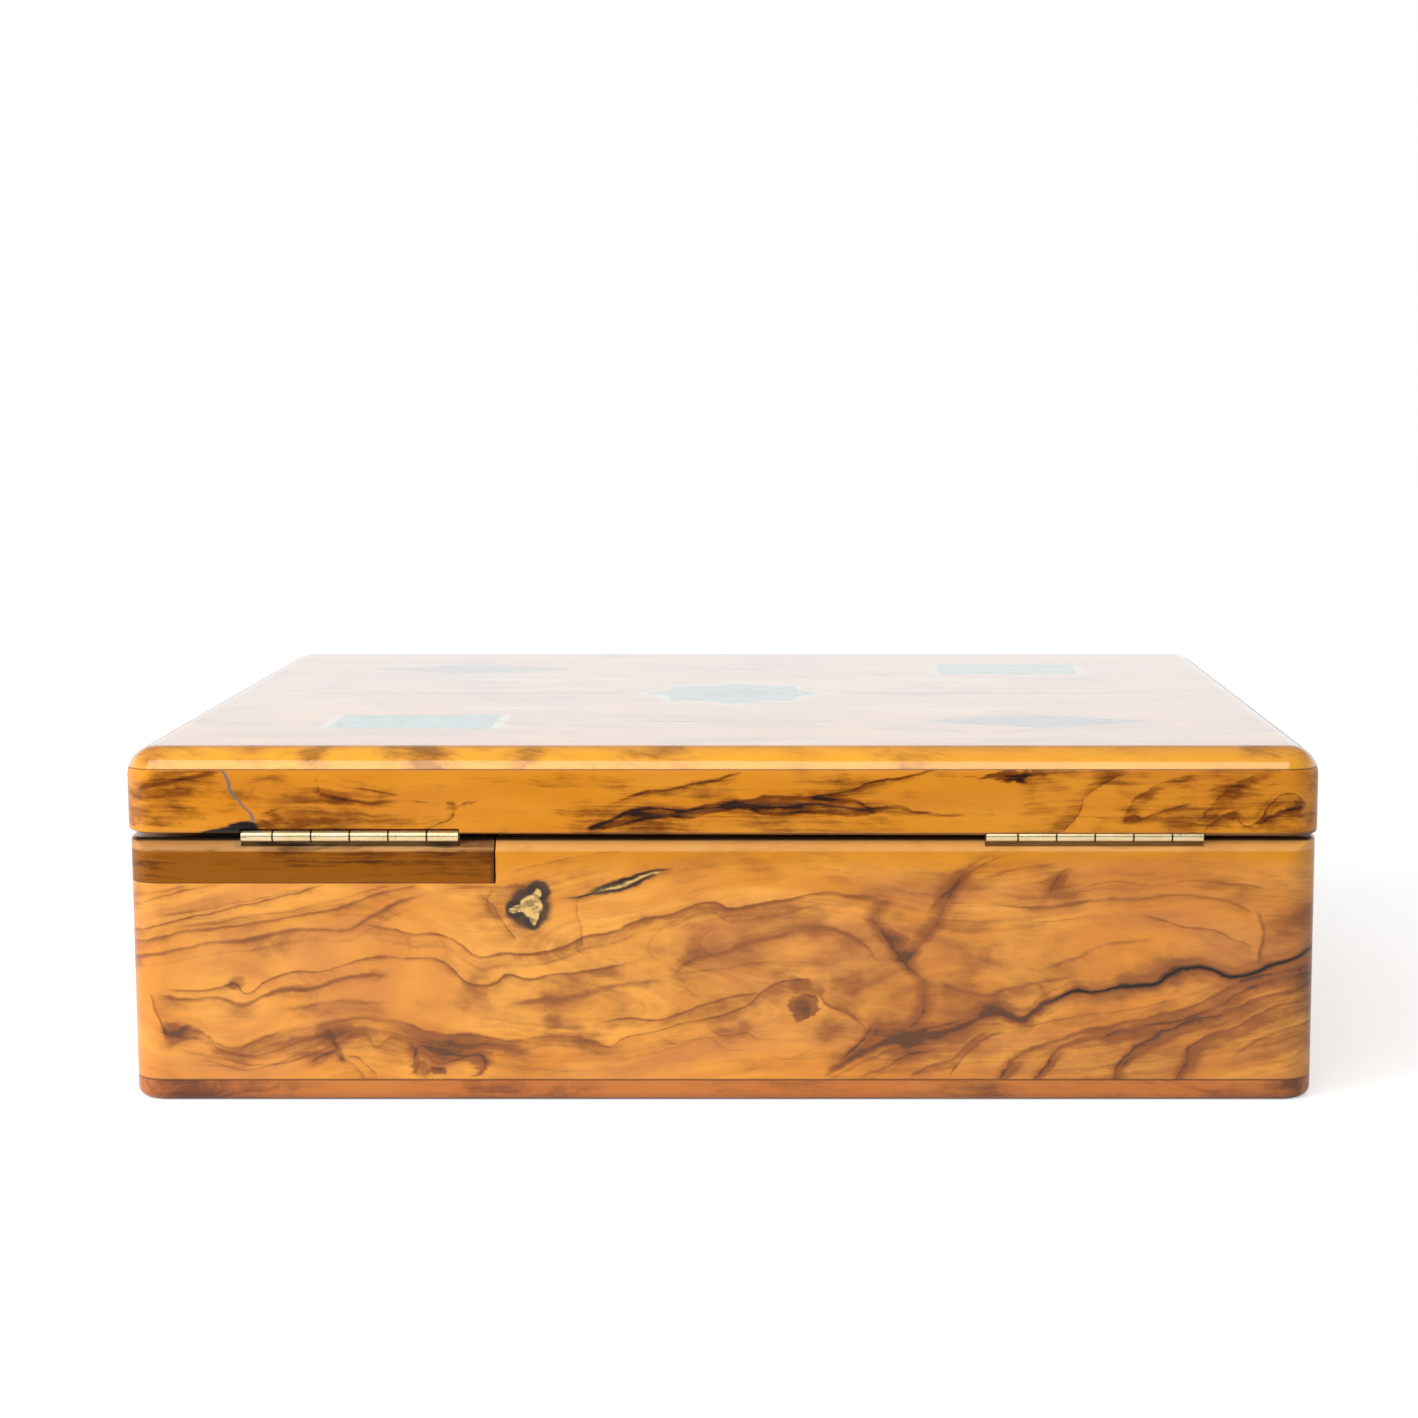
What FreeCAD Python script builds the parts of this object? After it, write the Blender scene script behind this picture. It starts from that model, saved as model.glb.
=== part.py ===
import FreeCAD, Part
import os
import re
import Sketcher

# Hinged wooden box with an inlaid lid, in millimetres.
# +Z is up, the front is -Y, the hinged back is +Y, and +X is the box's right seen from its front.
# The origin is the middle of the underside.

doc = FreeCAD.newDocument("inlaid_box")
sheet = doc.addObject("Spreadsheet::Sheet", "Sizes")

SIZES = (
    ("box_width", 280, "lid from end to end"),
    ("box_depth", 220, "lid from front to back"),
    ("rim_height", 62.7, "underside to the top of the walls"),
    ("lid_height", 21.3, "top of the walls to the top of the lid"),
    ("lid_overhang", 0.4, "lid past the walls all round"),
    ("wall", 10, "thickness of the walls and the lid rails"),
    ("bottom_thickness", 5.2, "bottom panel"),
    ("top_thickness", 4.8, "lid top panel"),
    ("corner_radius", 8, "upright corners"),
    ("top_edge_radius", 7, "round-over of the lid top"),
    ("bottom_edge_radius", 2.5, "round-over of the underside"),
    ("edge_easing", 0.9, "sanded edges where lid and walls meet"),
    ("rim_chamfer", 3, "planed back edge of the rim"),
    ("gap_back_right", 1.4, "lid above the rim at the back right corner"),
    ("gap_back_left", 0.7, "lid above the rim at the back left corner"),
    ("gap_front", 0.3, "lid above the rim along the front"),
    ("patch_length", 86.6, "let-in strip, from the right end of the back wall"),
    ("patch_height", 10.5, "let-in strip, down from the rim"),
    ("patch_joint", 0.4, "open joint at the strip's inner end"),
    ("hinge_margin", 27.6, "from the end of the lid to the near end of a hinge"),
    ("hinge_length", 50.8, "along the pin"),
    ("end_knuckle", 7.4, "length of a hinge's first and last knuckle"),
    ("knuckle_gap", 0.16, "between neighbouring knuckles"),
    ("leaf_width", 8, "from the pin to the free edge of a leaf"),
    ("leaf_thickness", 0.85, "leaf and knuckle wall"),
    ("leaf_clearance", 0.2, "round a leaf in its mortise"),
    ("pin_diameter", 1.0, "hinge pin"),
    ("pin_clearance", 0.05, "radial, pin in its knuckles"),
    ("pin_chamfer", 0.15, "ends of the pin"),
    ("hinge_inset", 1.2, "pin inside the back face of the walls"),
    ("knuckle_clearance", 0.3, "room round the knuckles"),
    ("recess_depth", 1.9, "knuckle recess below the rim"),
    ("notch_rise", 0.6, "open notch in the lid above the right hinge's knuckles"),
    ("screw_spacing", 17, "between the screws of a leaf"),
    ("screw_setback", 4.8, "from the pin to the line of screws"),
    ("screw_head", 3.6, "head diameter"),
    ("screw_shank", 2.0, "shank diameter"),
    ("screw_length", 9, "head face to point"),
    ("screw_point", 2, "tapered point"),
    ("screw_slot", 0.5, "width of the driver slot"),
    ("screw_slot_depth", 0.4, "depth of the driver slot"),
    ("screw_clearance", 0.05, "round a screw in its hole"),
    ("inlay_depth", 1.2, "thickness of the inlay pieces"),
    ("star_radius", 24, "tips of the middle star"),
    ("star_border", 3, "light band round the star, at its tips"),
    ("hub_radius", 10, "corners of the eight-sided middle"),
    ("line_width", 2.2, "long dark lines"),
    ("line_gap", 3, "wood between the star and what lies beside it"),
    ("tip_margin", 11.8, "from the end of the lid to the light lozenge past a line"),
    ("tip_gap", 1.2, "wood between a line and the light lozenge past its end"),
    ("tip_length", 13, "light lozenges that end the lines"),
    ("tip_width", 4.4, "light lozenges that end the lines"),
    ("tile_margin_x", 62, "from the end of the lid to the middle of a tile or a lozenge"),
    ("tile_margin_y", 50, "from the front or back of the lid to the middle of a tile or a lozenge"),
    ("tile_length", 40, "turquoise tiles"),
    ("tile_width", 27, "turquoise tiles"),
    ("cap_width", 2.6, "light bars at the tile ends"),
    ("lozenge_length", 62, "slate lozenges"),
    ("lozenge_width", 25, "slate lozenges"),
    ("stroke_length", 52, "short dark lines"),
    ("stroke_width", 1.6, "short dark lines"),
    ("slip_length", 44, "light slips"),
    ("slip_width", 3.6, "light slips"),
    ("slip_offset_y", 33, "middle of a slip, front to back"),
)

for row, (alias, value, note) in enumerate(SIZES, start=1):
    sheet.set(f"A{row}", alias)
    sheet.set(f"B{row}", str(value))
    sheet.setAlias(f"B{row}", alias)
    sheet.set(f"C{row}", note)
doc.recompute()

ALIAS = re.compile(r"\b(" + "|".join(alias for alias, value, note in SIZES) + r")\b")

# Places that several pieces share, worked out from the sheet.
BASE_SIDE = "(box_width / 2 - lid_overhang)"
BASE_BACK = "(box_depth / 2 - lid_overhang)"
LID_SIDE = "(box_width / 2)"
LID_BACK = "(box_depth / 2)"
LID_TOP = "(rim_height + lid_height)"
GLUE_LINE = f"({LID_TOP} - top_thickness)"
CORNER = "min(corner_radius; wall - edge_easing)"
TOP_ROUND = f"min(top_edge_radius; {CORNER} - edge_easing)"
BOTTOM_ROUND = "min(bottom_edge_radius; bottom_thickness - edge_easing)"
KNUCKLE_RADIUS = "(pin_diameter / 2 + pin_clearance + leaf_thickness)"
AXIS_Y = f"({BASE_BACK} - hinge_inset)"
AXIS_Z = f"(rim_height + {KNUCKLE_RADIUS} - leaf_thickness)"
SCREW_Y = f"({AXIS_Y} - screw_setback)"
HEAD_HEIGHT = "(leaf_thickness - screw_clearance)"
HEAD_ANGLE = f"2 * atan((screw_head - screw_shank) / 2 / {HEAD_HEIGHT})"
INNER_KNUCKLE = "((hinge_length - 2 * end_knuckle) / 4)"
KNUCKLES = 6
SCREWS = 3
HINGE_CENTRE = f"({LID_SIDE} - hinge_margin - hinge_length / 2)"
HINGES = (("right", HINGE_CENTRE), ("left", f"(-{HINGE_CENTRE})"))
BELOW, ABOVE = -1, 1
STAR_POINTS = 8
STAR_STEP = 180 / STAR_POINTS
CUT_MARGIN = 1
SAME_PLACE = 0.01


def cells(expression):
    return ALIAS.sub(r"Sizes.\1", expression)


def number(expression):
    return float(sheet.evalExpression(cells(expression)))


def bind(thing, path, expression):
    thing.setExpression(path, cells(expression))


def new_body(label):
    body = doc.addObject("PartDesign::Body", label)
    body.Label = label
    return body


def new_sketch(body, name, role, offset, shift="0"):
    """Sketch on an origin plane of the body, moved along its normal and along its first axis."""
    sketch = body.newObject("Sketcher::SketchObject", name)
    plane = next(feature for feature in body.Origin.OriginFeatures if feature.Role == role)
    sketch.AttachmentSupport = [(plane, "")]
    sketch.MapMode = "FlatFace"
    bind(sketch, "AttachmentOffset.Base.z", offset)
    bind(sketch, "AttachmentOffset.Base.x", shift)
    return sketch


def add_loop(sketch, corners):
    """Closed outline of straight sides, with the place of every corner bound to the sheet."""
    points = [FreeCAD.Vector(number(x), number(y), 0) for x, y in corners]
    first = sketch.GeometryCount
    sketch.addGeometry([Part.LineSegment(a, b) for a, b in zip(points, points[1:] + points[:1])])
    for place, (x, y) in enumerate(corners):
        side = first + place
        before = first + (place - 1) % len(corners)
        sketch.addConstraint(Sketcher.Constraint("Coincident", before, 2, side, 1))
        for kind, expression in (("DistanceX", x), ("DistanceY", y)):
            index = sketch.addConstraint(Sketcher.Constraint(kind, side, 1, number(expression)))
            bind(sketch, f"Constraints[{index}]", expression)


def add_circle(sketch, x, y, radius):
    centre = FreeCAD.Vector(number(x), number(y), 0)
    circle = sketch.addGeometry(Part.Circle(centre, FreeCAD.Vector(0, 0, 1), number(radius)))
    for kind, expression in (("DistanceX", x), ("DistanceY", y)):
        index = sketch.addConstraint(Sketcher.Constraint(kind, circle, 3, number(expression)))
        bind(sketch, f"Constraints[{index}]", expression)
    index = sketch.addConstraint(Sketcher.Constraint("Radius", circle, number(radius)))
    bind(sketch, f"Constraints[{index}]", radius)


def rectangle(x_low, x_high, y_low, y_high):
    return [(x_low, y_low), (x_high, y_low), (x_high, y_high), (x_low, y_high)]


def pad(body, sketch, length):
    feature = body.newObject("PartDesign::Pad", sketch.Name + "_pad")
    feature.Profile = sketch
    bind(feature, "Length", length)
    doc.recompute()
    return feature


def pocket(body, sketch, depth, upward=False):
    """Cut against the sketch's normal, or along it where the cut goes upward."""
    before = body.Shape.Volume
    feature = body.newObject("PartDesign::Pocket", sketch.Name + "_pocket")
    feature.Profile = sketch
    feature.Reversed = upward
    bind(feature, "Length", depth)
    doc.recompute()
    if feature.Shape.Volume >= before:
        raise RuntimeError(f"{feature.Name} cuts nothing")
    return feature


def round_edges(body, base, radius, wanted):
    """Fillet on the edges of the base feature that the test picks out."""
    names = [f"Edge{place}" for place, edge in enumerate(base.Shape.Edges, start=1) if wanted(edge)]
    feature = body.newObject("PartDesign::Fillet", base.Name + "_round")
    feature.Base = (base, names)
    bind(feature, "Radius", radius)
    doc.recompute()
    return feature


def is_upright(edge):
    return max(edge.BoundBox.XLength, edge.BoundBox.YLength) < SAME_PLACE


def lies_at(edge, axis, place):
    """True where the whole edge lies in the plane axis = place."""
    box = edge.BoundBox
    ends = {"x": (box.XMin, box.XMax), "y": (box.YMin, box.YMax), "z": (box.ZMin, box.ZMax)}[axis]
    return all(abs(end - number(place)) < SAME_PLACE for end in ends)


def ease_edges(body, base, face, wanted):
    """Sand those edges of one face of a board that the test picks out."""
    sanded = [edge.hashCode() for edge in face.Edges if wanted(edge)]
    return round_edges(body, base, "edge_easing", lambda edge: edge.hashCode() in sanded)


def finish_long_board(body, board, outer, inner, meeting_face):
    """Round the outer corners of a front or back board and sand its edge where lid and walls meet."""
    rounded = round_edges(body, board, CORNER, lambda edge: is_upright(edge) and lies_at(edge, "y", outer))
    ease_edges(body, rounded, meeting_face(rounded), lambda edge: not lies_at(edge, "y", inner))


def lowest_face(feature):
    return min(feature.Shape.Faces, key=lambda face: face.CenterOfMass.z)


def highest_face(feature):
    return max(feature.Shape.Faces, key=lambda face: face.CenterOfMass.z)


def new_boolean(kind, label, base, tool):
    result = doc.addObject(kind, label)
    result.Base = base
    result.Tool = tool
    result.Label = label
    doc.recompute()
    return result


def hinge_span(centre):
    """Both ends of a hinge's mortise along the box."""
    half = "(hinge_length / 2 + leaf_clearance)"
    return f"{centre} - {half}", f"{centre} + {half}"


def screw_places(centre):
    return [f"{centre} + {place - (SCREWS - 1) / 2} * screw_spacing" for place in range(SCREWS)]


def knuckle_ends(centre, place):
    """Both ends of one knuckle's share of the pin, counted from the hinge's left end."""
    ends = []
    for border in (place, place + 1):
        run = f"(end_knuckle + {border - 1} * {INNER_KNUCKLE})"
        if border == 0:
            run = "0"
        if border == KNUCKLES:
            run = "hinge_length"
        ends.append(f"({centre} - hinge_length / 2 + {run})")
    return ends


# Base: bottom panel and four walls, the short walls glued between the long ones.

def make_bottom_panel():
    body = new_body("base_bottom_panel")
    sketch = new_sketch(body, "bottom_outline", "XY_Plane", "0")
    add_loop(sketch, rectangle(f"-{BASE_SIDE}", BASE_SIDE, f"-{BASE_BACK}", BASE_BACK))
    board = pad(body, sketch, "bottom_thickness")
    rounded = round_edges(body, board, CORNER, is_upright)
    round_edges(body, rounded, BOTTOM_ROUND, lambda edge: lies_at(edge, "z", "0"))
    return body


def long_wall(label, inner, outer):
    """Front or back wall with rounded outer corners and a sanded rim."""
    body = new_body(label)
    sketch = new_sketch(body, label + "_plan", "XY_Plane", "bottom_thickness")
    add_loop(sketch, rectangle(f"-{BASE_SIDE}", BASE_SIDE, inner, outer))
    board = pad(body, sketch, "rim_height - bottom_thickness")
    finish_long_board(body, board, outer, inner, highest_face)
    return body


def short_wall(label, low, high, outer):
    body = new_body(label)
    sketch = new_sketch(body, label + "_plan", "XY_Plane", "bottom_thickness")
    end = f"({BASE_BACK} - wall)"
    add_loop(sketch, rectangle(low, high, f"-{end}", end))
    board = pad(body, sketch, "rim_height - bottom_thickness")
    ease_edges(body, board, highest_face(board), lambda edge: lies_at(edge, "x", outer))
    return body


def make_back_walls():
    """The back wall and the strip let into its right end, cut from one board."""
    board = long_wall("back_board", f"{BASE_BACK} - wall", BASE_BACK)

    chamfer = new_sketch(board, "rim_chamfer_end", "YZ_Plane", f"{BASE_SIDE} + {CUT_MARGIN}")
    add_loop(chamfer, [
        (f"{BASE_BACK} - rim_chamfer - {CUT_MARGIN}", f"rim_height + {CUT_MARGIN}"),
        (f"{BASE_BACK} + {CUT_MARGIN}", f"rim_height - rim_chamfer - {CUT_MARGIN}"),
        (f"{BASE_BACK} + {CUT_MARGIN}", f"rim_height + {CUT_MARGIN}"),
    ])
    pocket(board, chamfer, f"2 * ({BASE_SIDE} + {CUT_MARGIN})")

    mortises = new_sketch(board, "base_mortises", "XY_Plane", "rim_height")
    recesses = new_sketch(board, "base_recesses", "XY_Plane", "rim_height")
    pilots = new_sketch(board, "base_pilots", "XY_Plane", "rim_height")
    leaf_edge = f"{AXIS_Y} - leaf_width - leaf_clearance"
    knuckle_edge = f"{AXIS_Y} - {KNUCKLE_RADIUS} - knuckle_clearance"
    for side, centre in HINGES:
        low, high = hinge_span(centre)
        add_loop(mortises, rectangle(low, high, leaf_edge, f"{BASE_BACK} + {CUT_MARGIN}"))
        add_loop(recesses, rectangle(low, high, knuckle_edge, f"{BASE_BACK} + {CUT_MARGIN}"))
        for x in screw_places(centre):
            add_circle(pilots, x, SCREW_Y, "screw_shank / 2 + screw_clearance")
    pocket(board, mortises, "leaf_thickness")
    pocket(board, recesses, "recess_depth")
    pocket(board, pilots, "screw_length + screw_clearance")

    places = {}
    for name, start in (("patch_seat", "0"), ("patch_room", "patch_joint")):
        region = doc.addObject("Part::Box", name)
        bind(region, "Length", f"patch_length - {start} + {CUT_MARGIN}")
        bind(region, "Width", f"wall + 2 * {CUT_MARGIN}")
        bind(region, "Height", f"patch_height + {CUT_MARGIN}")
        bind(region, "Placement.Base.x", f"{BASE_SIDE} - patch_length + {start}")
        bind(region, "Placement.Base.y", f"{BASE_BACK} - wall - {CUT_MARGIN}")
        bind(region, "Placement.Base.z", "rim_height - patch_height")
        places[name] = region
    doc.recompute()
    wall = new_boolean("Part::Cut", "base_back_wall", board, places["patch_seat"])
    patch = new_boolean("Part::Common", "base_back_wall_patch", board, places["patch_room"])
    return [wall, patch]


# Lid: a top panel glued on four rails, all rounded over together.

def make_lid_form():
    """Outer shape of the whole lid, which trims the panel and the rails."""
    body = new_body("lid_form")
    sketch = new_sketch(body, "lid_outline", "XY_Plane", "rim_height")
    add_loop(sketch, rectangle(f"-{LID_SIDE}", LID_SIDE, f"-{LID_BACK}", LID_BACK))
    block = pad(body, sketch, "lid_height")
    rounded = round_edges(body, block, CORNER, is_upright)
    round_edges(body, rounded, TOP_ROUND, lambda edge: lies_at(edge, "z", LID_TOP))
    return body


def long_rail(label, near, left_gap, right_gap, outer, inner):
    """Front or back rail; near is the face with the larger Y, where the board is drawn."""
    body = new_body(label)
    sketch = new_sketch(body, label + "_face", "XZ_Plane", f"-({near})")
    add_loop(sketch, [
        (f"-{LID_SIDE}", f"rim_height + {left_gap}"),
        (LID_SIDE, f"rim_height + {right_gap}"),
        (LID_SIDE, GLUE_LINE),
        (f"-{LID_SIDE}", GLUE_LINE),
    ])
    board = pad(body, sketch, "wall")
    finish_long_board(body, board, outer, inner, lowest_face)
    return body


def short_rail(label, low, outer, back_gap):
    body = new_body(label)
    sketch = new_sketch(body, label + "_face", "YZ_Plane", low)
    end = f"({LID_BACK} - wall)"
    add_loop(sketch, [
        (f"-{end}", "rim_height + gap_front"),
        (end, f"rim_height + {back_gap}"),
        (end, GLUE_LINE),
        (f"-{end}", GLUE_LINE),
    ])
    board = pad(body, sketch, "wall")
    ease_edges(body, board, lowest_face(board), lambda edge: lies_at(edge, "x", outer))
    return body


def cut_hinge_seats(board):
    """Mortises, knuckle grooves, pilot holes and the one open notch in the lid's back rail."""
    mortises = new_sketch(board, "lid_mortises", "XY_Plane", "rim_height")
    pilots = new_sketch(board, "lid_pilots", "XY_Plane", "rim_height")
    notch = new_sketch(board, "lid_notch", "XY_Plane", "rim_height")
    leaf_edge = f"{AXIS_Y} - leaf_width - leaf_clearance"
    knuckle_edge = f"{AXIS_Y} - {KNUCKLE_RADIUS} - knuckle_clearance"
    past_back = f"{LID_BACK} + {CUT_MARGIN}"
    ceiling = f"({AXIS_Z} + {KNUCKLE_RADIUS} - rim_height)"
    for side, centre in HINGES:
        low, high = hinge_span(centre)
        add_loop(mortises, rectangle(low, high, leaf_edge, AXIS_Y))
        for x in screw_places(centre):
            add_circle(pilots, x, SCREW_Y, "screw_shank / 2 + screw_clearance")
        if side == "right":
            add_loop(notch, rectangle(low, high, knuckle_edge, past_back))
    pocket(board, mortises, ceiling, upward=True)
    pocket(board, notch, f"{ceiling} + notch_rise", upward=True)
    pocket(board, pilots, f"{AXIS_Z} + {KNUCKLE_RADIUS} - leaf_thickness - rim_height "
                          "+ screw_length + screw_clearance", upward=True)
    for side, centre in HINGES:
        low, high = hinge_span(centre)
        groove = new_sketch(board, side + "_knuckle_groove", "YZ_Plane", high)
        add_circle(groove, AXIS_Y, AXIS_Z, f"{KNUCKLE_RADIUS} + knuckle_clearance")
        pocket(board, groove, f"({high}) - ({low})")


def make_rails(lid_form):
    front = long_rail("front_board", f"-{LID_BACK} + wall", "gap_front", "gap_front",
                      f"-{LID_BACK}", f"-{LID_BACK} + wall")
    back = long_rail("rear_board", LID_BACK, "gap_back_left", "gap_back_right",
                     LID_BACK, f"{LID_BACK} - wall")
    cut_hinge_seats(back)
    left = short_rail("left_board", f"-{LID_SIDE}", f"-{LID_SIDE}", "gap_back_left")
    right = short_rail("right_board", f"{LID_SIDE} - wall", LID_SIDE, "gap_back_right")
    boards = (("front", front), ("back", back), ("left", left), ("right", right))
    return [new_boolean("Part::Common", f"lid_{side}_rail", board, lid_form) for side, board in boards]


# Inlay: flush pieces in the lid top, alike when the top is turned half round.

def star(radius):
    """Eight-pointed star: the outline of two crossed squares."""
    notch = f"{radius} * cos({2 * STAR_STEP}) / cos({STAR_STEP})"
    reaches = (radius, notch) * STAR_POINTS
    angles = [STAR_STEP * place for place in range(len(reaches))]
    return [(f"{reach} * cos({angle})", f"{reach} * sin({angle})") for reach, angle in zip(reaches, angles)]


def octagon(radius):
    angles = [STAR_STEP * (2 * place + 1) for place in range(STAR_POINTS)]
    return [(f"{radius} * cos({angle})", f"{radius} * sin({angle})") for angle in angles]


def bar(x, y, length, width):
    return rectangle(f"{x} - {length} / 2", f"{x} + {length} / 2", f"{y} - {width} / 2", f"{y} + {width} / 2")


def lozenge(x, y, length, width):
    return [(f"{x} - {length} / 2", y), (x, f"{y} - {width} / 2"),
            (f"{x} + {length} / 2", y), (x, f"{y} + {width} / 2")]


def inlay_outlines():
    """Outlines of each kind of inlay; an outline inside another one is a hole."""
    border = "(star_radius + star_border)"
    beside_star = f"({border} + line_gap)"
    line_end = f"({LID_SIDE} - tip_margin - tip_length - tip_gap)"
    turquoise = [star("star_radius"), octagon("hub_radius")]
    bone = [star(border), star("star_radius")]
    slate = [octagon("hub_radius")]
    dark = []
    for turn in ("1", "-1"):
        x, y = f"{turn} * ({LID_SIDE} - tile_margin_x)", f"{turn} * ({LID_BACK} - tile_margin_y)"
        turquoise.append(bar(x, y, "tile_length", "tile_width"))
        for end in ("1", "-1"):
            cap_x = f"{x} + {end} * (tile_length + cap_width) / 2"
            bone.append(bar(cap_x, y, "cap_width", "tile_width"))
            slip_x = f"{turn} * ({beside_star} + slip_length / 2)"
            bone.append(bar(slip_x, f"{end} * slip_offset_y", "slip_length", "slip_width"))
        slate.append(lozenge(f"-1 * ({x})", y, "lozenge_length", "lozenge_width"))
        line_x = f"{turn} * ({beside_star} + {line_end}) / 2"
        dark.append(bar(line_x, "0", f"({line_end} - {beside_star})", "line_width"))
        dark.append(bar("0", y, "stroke_length", "stroke_width"))
        tip_x = f"{turn} * ({LID_SIDE} - tip_margin - tip_length / 2)"
        bone.append(lozenge(tip_x, "0", "tip_length", "tip_width"))
    return {"inlay_turquoise": turquoise, "inlay_bone": bone, "inlay_slate": slate, "inlay_dark_lines": dark}


def make_lid_top(lid_form):
    inlays = []
    for label, outlines in inlay_outlines().items():
        sketch = doc.addObject("Sketcher::SketchObject", label + "_plan")
        for outline in outlines:
            add_loop(sketch, outline)
        bind(sketch, "Placement.Base.z", f"{LID_TOP} - inlay_depth")
        inlay = doc.addObject("Part::Extrusion", label)
        inlay.Label = label
        inlay.Base = sketch
        inlay.DirMode = "Normal"
        inlay.Solid = True
        bind(inlay, "LengthFwd", "inlay_depth")
        inlays.append(inlay)
    pockets = doc.addObject("Part::MultiFuse", "inlay_pockets")
    pockets.Shapes = inlays
    board = doc.addObject("Part::Box", "top_board")
    bind(board, "Length", f"box_width + 2 * {CUT_MARGIN}")
    bind(board, "Width", f"box_depth + 2 * {CUT_MARGIN}")
    bind(board, "Height", f"top_thickness + {CUT_MARGIN}")
    bind(board, "Placement.Base.x", f"-{LID_SIDE} - {CUT_MARGIN}")
    bind(board, "Placement.Base.y", f"-{LID_BACK} - {CUT_MARGIN}")
    bind(board, "Placement.Base.z", GLUE_LINE)
    doc.recompute()
    rounded = new_boolean("Part::Common", "rounded_top", board, lid_form)
    panel = new_boolean("Part::Cut", "lid_top_panel", rounded, pockets)
    return [panel] + inlays


# Hinges: two leaves with three knuckles each, a pin, and three screws a leaf.

def make_leaf(label, centre, side):
    """Leaf below or above the pin; the base's knuckles are the first, third and fifth from the left."""
    body = new_body(label)
    own = [place for place in range(KNUCKLES) if place % 2 == (0 if side == BELOW else 1)]
    outer = f"({AXIS_Z} + {side} * {KNUCKLE_RADIUS})"
    inner = f"({outer} - {side} * leaf_thickness)"
    lower = outer if side == BELOW else inner
    free_edge = f"{AXIS_Y} - leaf_width"
    root = f"{AXIS_Y} - {KNUCKLE_RADIUS} - knuckle_clearance"

    left_end, right_end = f"{centre} - hinge_length / 2", f"{centre} + hinge_length / 2"
    corners = [(left_end, root), (left_end, free_edge), (right_end, free_edge), (right_end, root)]
    for place in reversed(own):
        start, end = knuckle_ends(centre, place)
        tongue_left, tongue_right = f"{start} + knuckle_gap / 2", f"{end} - knuckle_gap / 2"
        corners += [(tongue_right, root), (tongue_right, AXIS_Y), (tongue_left, AXIS_Y), (tongue_left, root)]
    plan = new_sketch(body, label + "_plan", "XY_Plane", lower)
    add_loop(plan, corners)
    pad(body, plan, "leaf_thickness")

    for place in own:
        start, end = knuckle_ends(centre, place)
        ring = new_sketch(body, f"{label}_knuckle_{place}", "YZ_Plane", f"{start} + knuckle_gap / 2")
        add_circle(ring, AXIS_Y, AXIS_Z, KNUCKLE_RADIUS)
        pad(body, ring, f"{end} - {start} - knuckle_gap")
    bore = new_sketch(body, label + "_bore", "YZ_Plane", f"{centre} + hinge_length / 2 + {CUT_MARGIN}")
    add_circle(bore, AXIS_Y, AXIS_Z, "pin_diameter / 2 + pin_clearance")
    pocket(body, bore, f"hinge_length + 2 * {CUT_MARGIN}")

    holes = new_sketch(body, label + "_holes", "XY_Plane", inner)
    for x in screw_places(centre):
        add_circle(holes, x, SCREW_Y, "screw_shank / 2 + screw_clearance")
    doc.recompute()
    sinks = body.newObject("PartDesign::Hole", label + "_countersinks")
    sinks.Profile = holes
    doc.recompute()
    sinks.DepthType = "ThroughAll"
    sinks.HoleCutType = "Countersink"
    sinks.HoleCutCustomValues = True
    sinks.Reversed = side == ABOVE
    bind(sinks, "Diameter", "screw_shank + 2 * screw_clearance")
    bind(sinks, "HoleCutDiameter", "screw_head + 2 * screw_clearance")
    bind(sinks, "HoleCutCountersinkAngle", HEAD_ANGLE)
    doc.recompute()
    return body


def make_screws(label, centre, side):
    """Row of countersunk screws with driver slots, driven away from the pin."""
    body = new_body(label)
    body.AllowCompound = True
    face = f"({AXIS_Z} + {side} * ({KNUCKLE_RADIUS} - leaf_thickness))"
    first = screw_places(centre)[0]
    profile = new_sketch(body, label + "_profile", "XZ_Plane", f"-{SCREW_Y}", first)
    add_loop(profile, [
        ("0", face),
        ("screw_head / 2", face),
        ("screw_shank / 2", f"{face} + {side} * {HEAD_HEIGHT}"),
        ("screw_shank / 2", f"{face} + {side} * (screw_length - screw_point)"),
        ("0", f"{face} + {side} * screw_length"),
    ])
    turned = body.newObject("PartDesign::Revolution", label + "_turned")
    turned.Profile = profile
    turned.ReferenceAxis = (profile, ["V_Axis"])
    turned.Angle = 360
    doc.recompute()
    slot = new_sketch(body, label + "_slot", "XY_Plane", face, first)
    add_loop(slot, bar("0", SCREW_Y, "screw_head + 2 * screw_clearance", "screw_slot"))
    cut = pocket(body, slot, "screw_slot_depth", upward=side == ABOVE)
    row = body.newObject("PartDesign::LinearPattern", label + "_row")
    row.Originals = [turned, cut]
    row.Direction = (slot, ["H_Axis"])
    bind(row, "Length", f"{SCREWS - 1} * screw_spacing")
    row.Occurrences = SCREWS
    body.Tip = row
    doc.recompute()
    return body


def make_pin(label, centre):
    body = new_body(label)
    sketch = new_sketch(body, label + "_end", "YZ_Plane", f"{centre} - hinge_length / 2")
    add_circle(sketch, AXIS_Y, AXIS_Z, "pin_diameter / 2")
    rod = pad(body, sketch, "hinge_length")
    chamfer = body.newObject("PartDesign::Chamfer", label + "_chamfer")
    round_ends = [f"Edge{place}" for place, edge in enumerate(rod.Shape.Edges, start=1) if edge.isClosed()]
    chamfer.Base = (rod, round_ends)
    bind(chamfer, "Size", "pin_chamfer")
    doc.recompute()
    return body


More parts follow.
